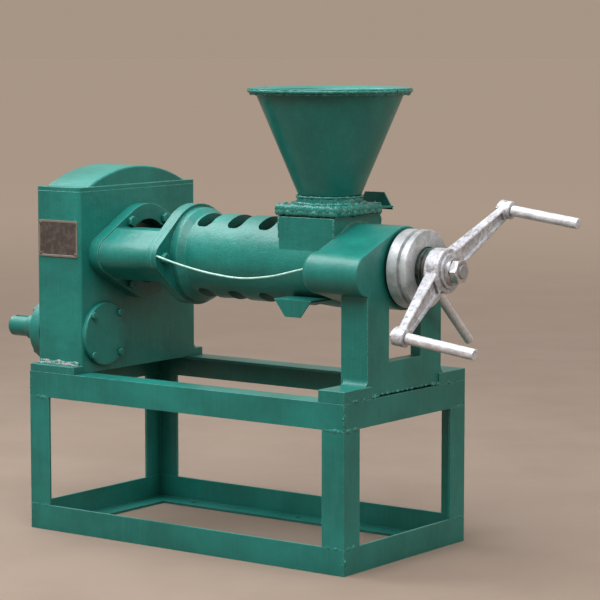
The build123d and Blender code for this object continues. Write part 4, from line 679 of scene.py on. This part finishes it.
def bead(path, radius, seed, flat=1.0, closed=False, rough=1.0):
    """A weld bead: a tube whose radius is the base one times ripples, lumps and, if open, a rounded end.
    Its width across the path, on the level, is multiplied by flat, so a bead on an upright face lies low."""
    lot = np.random.default_rng(seed)
    path = np.asarray(path, float)
    ahead = (np.roll(path, -1, 0) - np.roll(path, 1, 0)) if closed else np.gradient(path, axis=0)
    ahead /= np.linalg.norm(ahead, axis=1)[:, None]
    length = np.concatenate([[0.0], np.cumsum(np.linalg.norm(np.diff(path, axis=0), axis=1))])
    side = np.cross(ahead, np.where(np.abs(ahead[:, 2:]) < 0.9, [[0.0, 0.0, 1.0]], [[1.0, 0.0, 0.0]]))
    side /= np.linalg.norm(side, axis=1)[:, None]
    up = np.cross(side, ahead)
    turn = np.arange(BEAD_SIDES) * 2 * pi / BEAD_SIDES
    waves = sum(lot.uniform(0.4, 1.0) * np.sin(length * lot.uniform(60, 420) + lot.uniform(0, 6.28))
                for _ in range(5))
    ripple = RIPPLE_SHARE * np.sin(length * 2 * pi / RIPPLE_PITCH + lot.uniform(0, 6.28))
    lumps = lot.normal(0.0, LUMP_SHARE, (len(path), len(turn)))
    swing = WAVE_SHARE * waves[:, None] + ripple[:, None] + lumps
    size = radius * np.clip(1 + rough * swing, THINNEST, THICKEST)
    if not closed:
        share = np.linspace(0, 1, len(path))[:, None]
        size = size * np.sqrt(np.clip(1 - np.abs(2 * share - 1) ** 14, 0.02, 1))
    across, above = flat * np.cos(turn)[None, :, None], np.sin(turn)[None, :, None]
    ring = across * side[:, None, :] + above * up[:, None, :]
    return skin(path[:, None, :] + size[..., None] * ring)


def straight(start, end):
    """Evenly spaced points from start to end, about 2 mm apart."""
    start, end = np.asarray(start, float), np.asarray(end, float)
    count = max(6, int(np.linalg.norm(end - start) / BEAD_STEP))
    return start + np.linspace(0, 1, count)[:, None] * (end - start)


def run(start, end, radius, seed, flat=1.0, rough=1.0):
    """A straight bead."""
    return bead(straight(start, end), radius, seed, flat, rough=rough)


def weld_piece(name, beads, finish=weld_enamel):
    """Several beads as one piece on the press's frame."""
    add_piece(name, beads, finish, "press_frame", sharp=60.0)


# %% [markdown]
# ## Welds of the stand
# Each corner of the stand has a bead on both faces, along the edge of each rail, and one up the corner itself
# over the height of each rail. These welds are low, so most are pressed to less than half their width.

# %% Beads of the stand
ANGLE_LEG, SINK, LOW_BEAD = 0.05, 0.0015, 0.42
END_GAP, LEG_GAP, CORNER_SINK = 0.003, 0.002, (0.0021, 0.0034)
RAIL_BEAD, TOP_EXTRA, CORNER_BEAD = 0.0040, 0.0008, 0.0026
rail_low, rail_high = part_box("stand_top_rail_front")
half_x, half_y, top_z = rail_high[0], -rail_low[1], rail_high[2]
stand_beads = []
for number, (sx, sy) in enumerate([(-1, -1), (1, -1), (1, 1), (-1, 1)]):
    face_x, face_y = sx * (half_x - SINK), sy * (half_y - SINK)
    outer_x, outer_y = sx * (half_x - END_GAP), sy * (half_y - END_GAP)
    inner_x, inner_y = sx * (half_x - ANGLE_LEG + LEG_GAP), sy * (half_y - ANGLE_LEG + LEG_GAP)
    corner = (sx * (half_x - CORNER_SINK[0]), sy * (half_y - CORNER_SINK[1]))
    for level, z in enumerate((ANGLE_LEG, top_z - ANGLE_LEG)):
        seed, size = 10 * number + level, RAIL_BEAD + TOP_EXTRA * level
        stand_beads += [run((outer_x, face_y, z), (inner_x, face_y, z), size, seed, LOW_BEAD),
                        run((face_x, outer_y, z), (face_x, inner_y, z), size * 1.1, seed + 50, LOW_BEAD)]
    for low, high in ((END_GAP, ANGLE_LEG - END_GAP), (top_z - ANGLE_LEG + END_GAP, top_z - END_GAP)):
        stand_beads.append(run((*corner, low), (*corner, high), CORNER_BEAD, number + 90, 1.2, rough=1.5))
weld_piece("stand_weld_beads", stand_beads)

# %% [markdown]
# ## Welds of the feet
# The gearbox stands on its foot plate, and a bare, slaggy weld runs along both side walls. The head's feet
# carry a wide painted pad of weld, low on their front faces. One tube can't be that wide without standing
# too far out, so each weld is laid in layers, as a welder would. A row of layers gives how far out each one
# lies, or for the sill how far back, then how high, then how thick.

# %% Beads of the gearbox's foot
FOOT_THICK, FOOT_END_GAP, FOOT_ROUGH = 0.015, 0.004, 1.9
FOOT_LAYERS = ((0.0015, 0.0010, 0.0042), (0.0045, 0.0002, 0.0030), (0.0005, 0.0048, 0.0028))
foot_top, wall_y = top_z + FOOT_THICK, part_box("gearbox_cover")[1][1]
foot_back, foot_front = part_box("gearbox_housing")[0][0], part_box("gearbox_housing")[1][0]
foot_beads = []
for side, number in ((-1, 1), (1, 2)):
    for layer, (out, up, size) in enumerate(FOOT_LAYERS):
        y, z, seed = side * (wall_y + out), foot_top + up, 300 + 10 * number + layer
        foot_beads.append(run((foot_back + FOOT_END_GAP, y, z), (foot_front - FOOT_END_GAP, y, z),
                              size, seed, rough=FOOT_ROUGH))
weld_piece("gearbox_foot_weld", foot_beads, weld_slag)

# %% Beads of the head's feet and the sill between them
HEAD_FACE, SILL_INNER, SILL_OUTER = 0.380, 0.088, 0.196
SILL_LAYERS = ((-0.0006, 0.0025, 0.0032), (0.0014, 0.0060, 0.0026))
PAD_LAYERS, PAD_INNER, PAD_OUTER = 4, 0.112, 0.197
PAD_OUT, PAD_LOW, PAD_STEP, PAD_BEAD, PAD_FLAT = 0.0002, 0.003, 0.0038, 0.0042, 0.55
INNER_TAPER, OUTER_TAPER = 0.004, 0.003
MIDDLE_START, MIDDLE_BACK, MIDDLE_UP, MIDDLE_BEAD = -0.086, 0.0022, 0.0045, 0.0022
sill_beads = []
for side, number in ((-1, 1), (1, 2)):
    for layer, (back, up, size) in enumerate(SILL_LAYERS):
        x, z, seed = HEAD_FACE - back, top_z + up, 340 + 10 * number + layer
        sill_beads.append(run((x, side * SILL_INNER, z), (x, side * SILL_OUTER, z), size, seed, rough=1.7))
    for layer in range(PAD_LAYERS):
        x, z, seed = HEAD_FACE + PAD_OUT, top_z + PAD_LOW + PAD_STEP * layer, 380 + 10 * number + layer
        inner, outer = PAD_INNER + INNER_TAPER * layer, PAD_OUTER - OUTER_TAPER * layer
        sill_beads.append(run((x, side * inner, z), (x, side * outer, z), PAD_BEAD, seed, PAD_FLAT,
                              rough=FOOT_ROUGH))
x, z = HEAD_FACE - MIDDLE_BACK, top_z + MIDDLE_UP
sill_beads.append(run((x, MIDDLE_START, z), (x, PAD_INNER, z), MIDDLE_BEAD, 366, rough=2.6))
weld_piece("sill_weld", sill_beads)

# %% [markdown]
# ## Welds of the hopper
# A pipe collar joins the cone to its plate, so two beads run round in circles. The two plates under it are
# joined by a thick double bead on three sides and beside the gate's tab on the fourth. The cone's rim is
# rolled over a wire, which a smooth closed bead stands for, with a rougher one under it.

# %% Paths round circles and corners
def ring_path(x, y, z, radius, count=150):
    """Points on a level circle."""
    turn = np.arange(count) * 2 * pi / count
    return np.stack([x + radius * np.cos(turn), y + radius * np.sin(turn), np.full(count, z)], -1)


def corner_path(corners):
    """Points about 2 mm apart along straight runs between corners."""
    runs = [straight(a, b)[:-1] for a, b in zip(corners, corners[1:])]
    return np.concatenate([*runs, [corners[-1]]])


# %% Beads of the hopper
COLLAR_HEIGHT, COLLAR_R, COLLAR_BEAD, COLLAR_LIFT = 0.014, 0.0650, 0.0036, 0.0008
THROAT_R, THROAT_BEAD, THROAT_SINK = 0.0622, 0.0022, 0.0004
PLATE_LAYERS = ((0.0080, 0.0016, 0.0058, 0.7), (0.0150, 0.0010, 0.0085, 0.62))    # up, out, size, flat
GATE_HALF = 0.050
base_low, base_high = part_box("hopper_base")
lower_low, lower_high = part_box("hopper_lower_plate")
feed_x, plate_top = (base_low[0] + base_high[0]) / 2, base_high[2] - COLLAR_HEIGHT
plate_x, plate_y = (lower_high[0] - lower_low[0]) / 2, (lower_high[1] - lower_low[1]) / 2
hopper_beads = [
    bead(ring_path(feed_x, 0, plate_top + COLLAR_LIFT, COLLAR_R), COLLAR_BEAD, 201,
         closed=True, rough=1.5),
    bead(ring_path(feed_x, 0, base_high[2] - THROAT_SINK, THROAT_R), THROAT_BEAD, 202,
         closed=True, rough=1.3)]
for layer, (up, out, size, flat) in enumerate(PLATE_LAYERS):
    x, y, z = plate_x + out, plate_y + out, lower_low[2] + up
    around = corner_path([(feed_x - x, y, z), (feed_x - x, -y, z), (feed_x + x, -y, z), (feed_x + x, y, z)])
    hopper_beads.append(bead(around, size, 210 + layer, flat, rough=0.7))
    for side in (-1, 1):
        hopper_beads.append(run((feed_x + side * x, y, z), (feed_x + side * GATE_HALF, y, z),
                                size, 220 + 2 * layer + side, flat, rough=0.7))
weld_piece("hopper_weld_beads", hopper_beads)

# %% The hopper's rolled rim
RIM_DROP, RIM_SINK, RIM_BEAD, RIM_POINTS = 0.0050, 0.0030, 0.0038, 360
UNDER_DROP, UNDER_IN, UNDER_BEAD = 0.0046, 0.0040, 0.0030
hopper_low, hopper_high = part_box("hopper")
rim_z, rim_r = hopper_high[2] - RIM_DROP, (hopper_high[0] - hopper_low[0]) / 2 - RIM_SINK
under_path = ring_path(feed_x, 0, rim_z - UNDER_DROP, rim_r - UNDER_IN, RIM_POINTS)
rolled_rim = [bead(ring_path(feed_x, 0, rim_z, rim_r, RIM_POINTS), RIM_BEAD, 240, closed=True, rough=0.6),
              bead(under_path, UNDER_BEAD, 241, closed=True, rough=1.7)]
weld_piece("hopper_rolled_rim", rolled_rim)

# %% [markdown]
# ## Seams of the feed box
# The feed box under the hopper is closed at its corners by short welds that the paint has nearly filled.

# %% Seams up the corners of the feed box
SEAM_X, SEAM_Y, SEAM_LOW, SEAM_HIGH, SEAM_BEAD = 0.0638, 0.0768, 0.600, 0.6395, 0.0020
seam_beads = []
for sy in (-1, 1):
    for sx in (-1, 1):
        x, y = feed_x + sx * SEAM_X, sy * SEAM_Y
        seam_beads.append(run((x, y, SEAM_LOW), (x, y, SEAM_HIGH), SEAM_BEAD, 250 + 2 * sx + sy, rough=1.2))
weld_piece("feed_box_seams", seam_beads)

# %% [markdown]
# ## Floor, lamps and background
# The press stands on a plain pale floor. A large soft lamp above and in front of it lights the tops and
# fronts, a weaker one over the gearbox's end lightens the shade there, and a faint one low beyond the crank
# keeps that end in half shade. A dim surround fills the rest. The floor is paler far away, so it runs into
# the background. Where a ray of light bounces off it to the press, the floor counts as darker than it
# looks, so the undersides of the press stay dark.

# %% The floor
FLOOR_RADIUS, FLOOR_SIDES = 80, 96
floor_mesh = bpy.data.meshes.new("studio_floor")
floor_rim = ring_path(0, 0, 0, FLOOR_RADIUS, FLOOR_SIDES)
floor_mesh.from_pydata(floor_rim.tolist(), [], [list(range(FLOOR_SIDES))])
studio_floor = bpy.data.objects.new("studio_floor", floor_mesh)
bpy.context.scene.collection.objects.link(studio_floor)

ground = Finish("pale_sand_floor")
floor_x, floor_y, _ = ground.axes(ground.place)
distance = (floor_x * floor_x + floor_y * floor_y) ** 0.5
cloud = ground.ramp(ground.noise(3.0, 4.0, 0.6), 0.35, 0.7)
sand = ground.blend(cloud, tint(138, 121, 107), tint(132, 115, 101))
sand = ground.blend(ground.ramp(distance, 1.0, 9.0), sand, tint(190, 168, 148))
camera_ray, glossy_ray, through_ray = (ground.node("ShaderNodeLightPath", out=f"Is {kind} Ray")
                                       for kind in ("Camera", "Glossy", "Transmission"))
seen = ground.math("MAXIMUM", ground.math("MAXIMUM", camera_ray, glossy_ray), through_ray)
ground_colour = ground.blend(seen, tint(70, 65, 60), sand)
true_normal = ground.node("ShaderNodeNewGeometry", out="Normal")
grit = ground.bump(ground.noise(420.0, 3.0, 0.7), 0.0006, true_normal)
floor_mesh.materials.append(ground.shade(Base_Color=ground_colour, Roughness=0.9, Normal=grit))
print("floor radius", FLOOR_RADIUS)


# %% The lamps
def softbox(name, place, aim, width, depth, watts, colour):
    """A soft rectangular lamp at a place, turned so that it shines at an aim."""
    box = bpy.data.objects.new(name, bpy.data.lights.new(name, "AREA"))
    bpy.context.scene.collection.objects.link(box)
    box.data.shape, box.data.size, box.data.size_y = "RECTANGLE", width, depth
    box.data.energy, box.data.color = watts, colour[:3]
    box.location = place
    box.rotation_euler = (Vector(place) - Vector(aim)).to_track_quat("Z", "Y").to_euler()


softbox("overhead_softbox", place=(0.5, -1.7, 3.5), aim=(0.0, 0.0, 0.5), width=3.0, depth=3.0,
        watts=150.0, colour=tint(252, 253, 255))
softbox("sky_softbox", place=(-1.5, -0.3, 2.7), aim=(0.0, 0.0, 0.55), width=2.0, depth=2.0,
        watts=60.0, colour=tint(246, 251, 255))
softbox("end_softbox", place=(3.4, 0.9, 1.3), aim=(0.3, 0.0, 0.4), width=1.6, depth=1.6,
        watts=16.0, colour=tint(255, 252, 246))
print("lamps", [lamp.name for lamp in bpy.data.lights])

# %% The surround, from the horizon up to the sky
world = bpy.data.worlds.new("studio_surround")
bpy.context.scene.world = world
world.use_nodes = True
nodes, links = world.node_tree.nodes, world.node_tree.links
place, split, climb, sky = (nodes.new(f"ShaderNode{kind}")
                            for kind in ("TexCoord", "SeparateXYZ", "MapRange", "Mix"))
climb.interpolation_type = "SMOOTHSTEP"
climb.inputs["From Min"].default_value = 0.03
climb.inputs["From Max"].default_value = 0.95
sky.data_type = "RGBA"
sky.inputs[MIX_BELOW].default_value = tint(175, 157, 140)
sky.inputs[MIX_ABOVE].default_value = tint(250, 252, 255)
links.new(place.outputs["Generated"], split.inputs["Vector"])
links.new(split.outputs["Z"], climb.inputs["Value"])
links.new(climb.outputs["Result"], sky.inputs[MIX_SHARE])
links.new(sky.outputs[MIX_RESULT], nodes["Background"].inputs["Color"])
nodes["Background"].inputs["Strength"].default_value = 0.9
bpy.context.scene.view_settings.view_transform = "Standard"
print("surround", world.name)
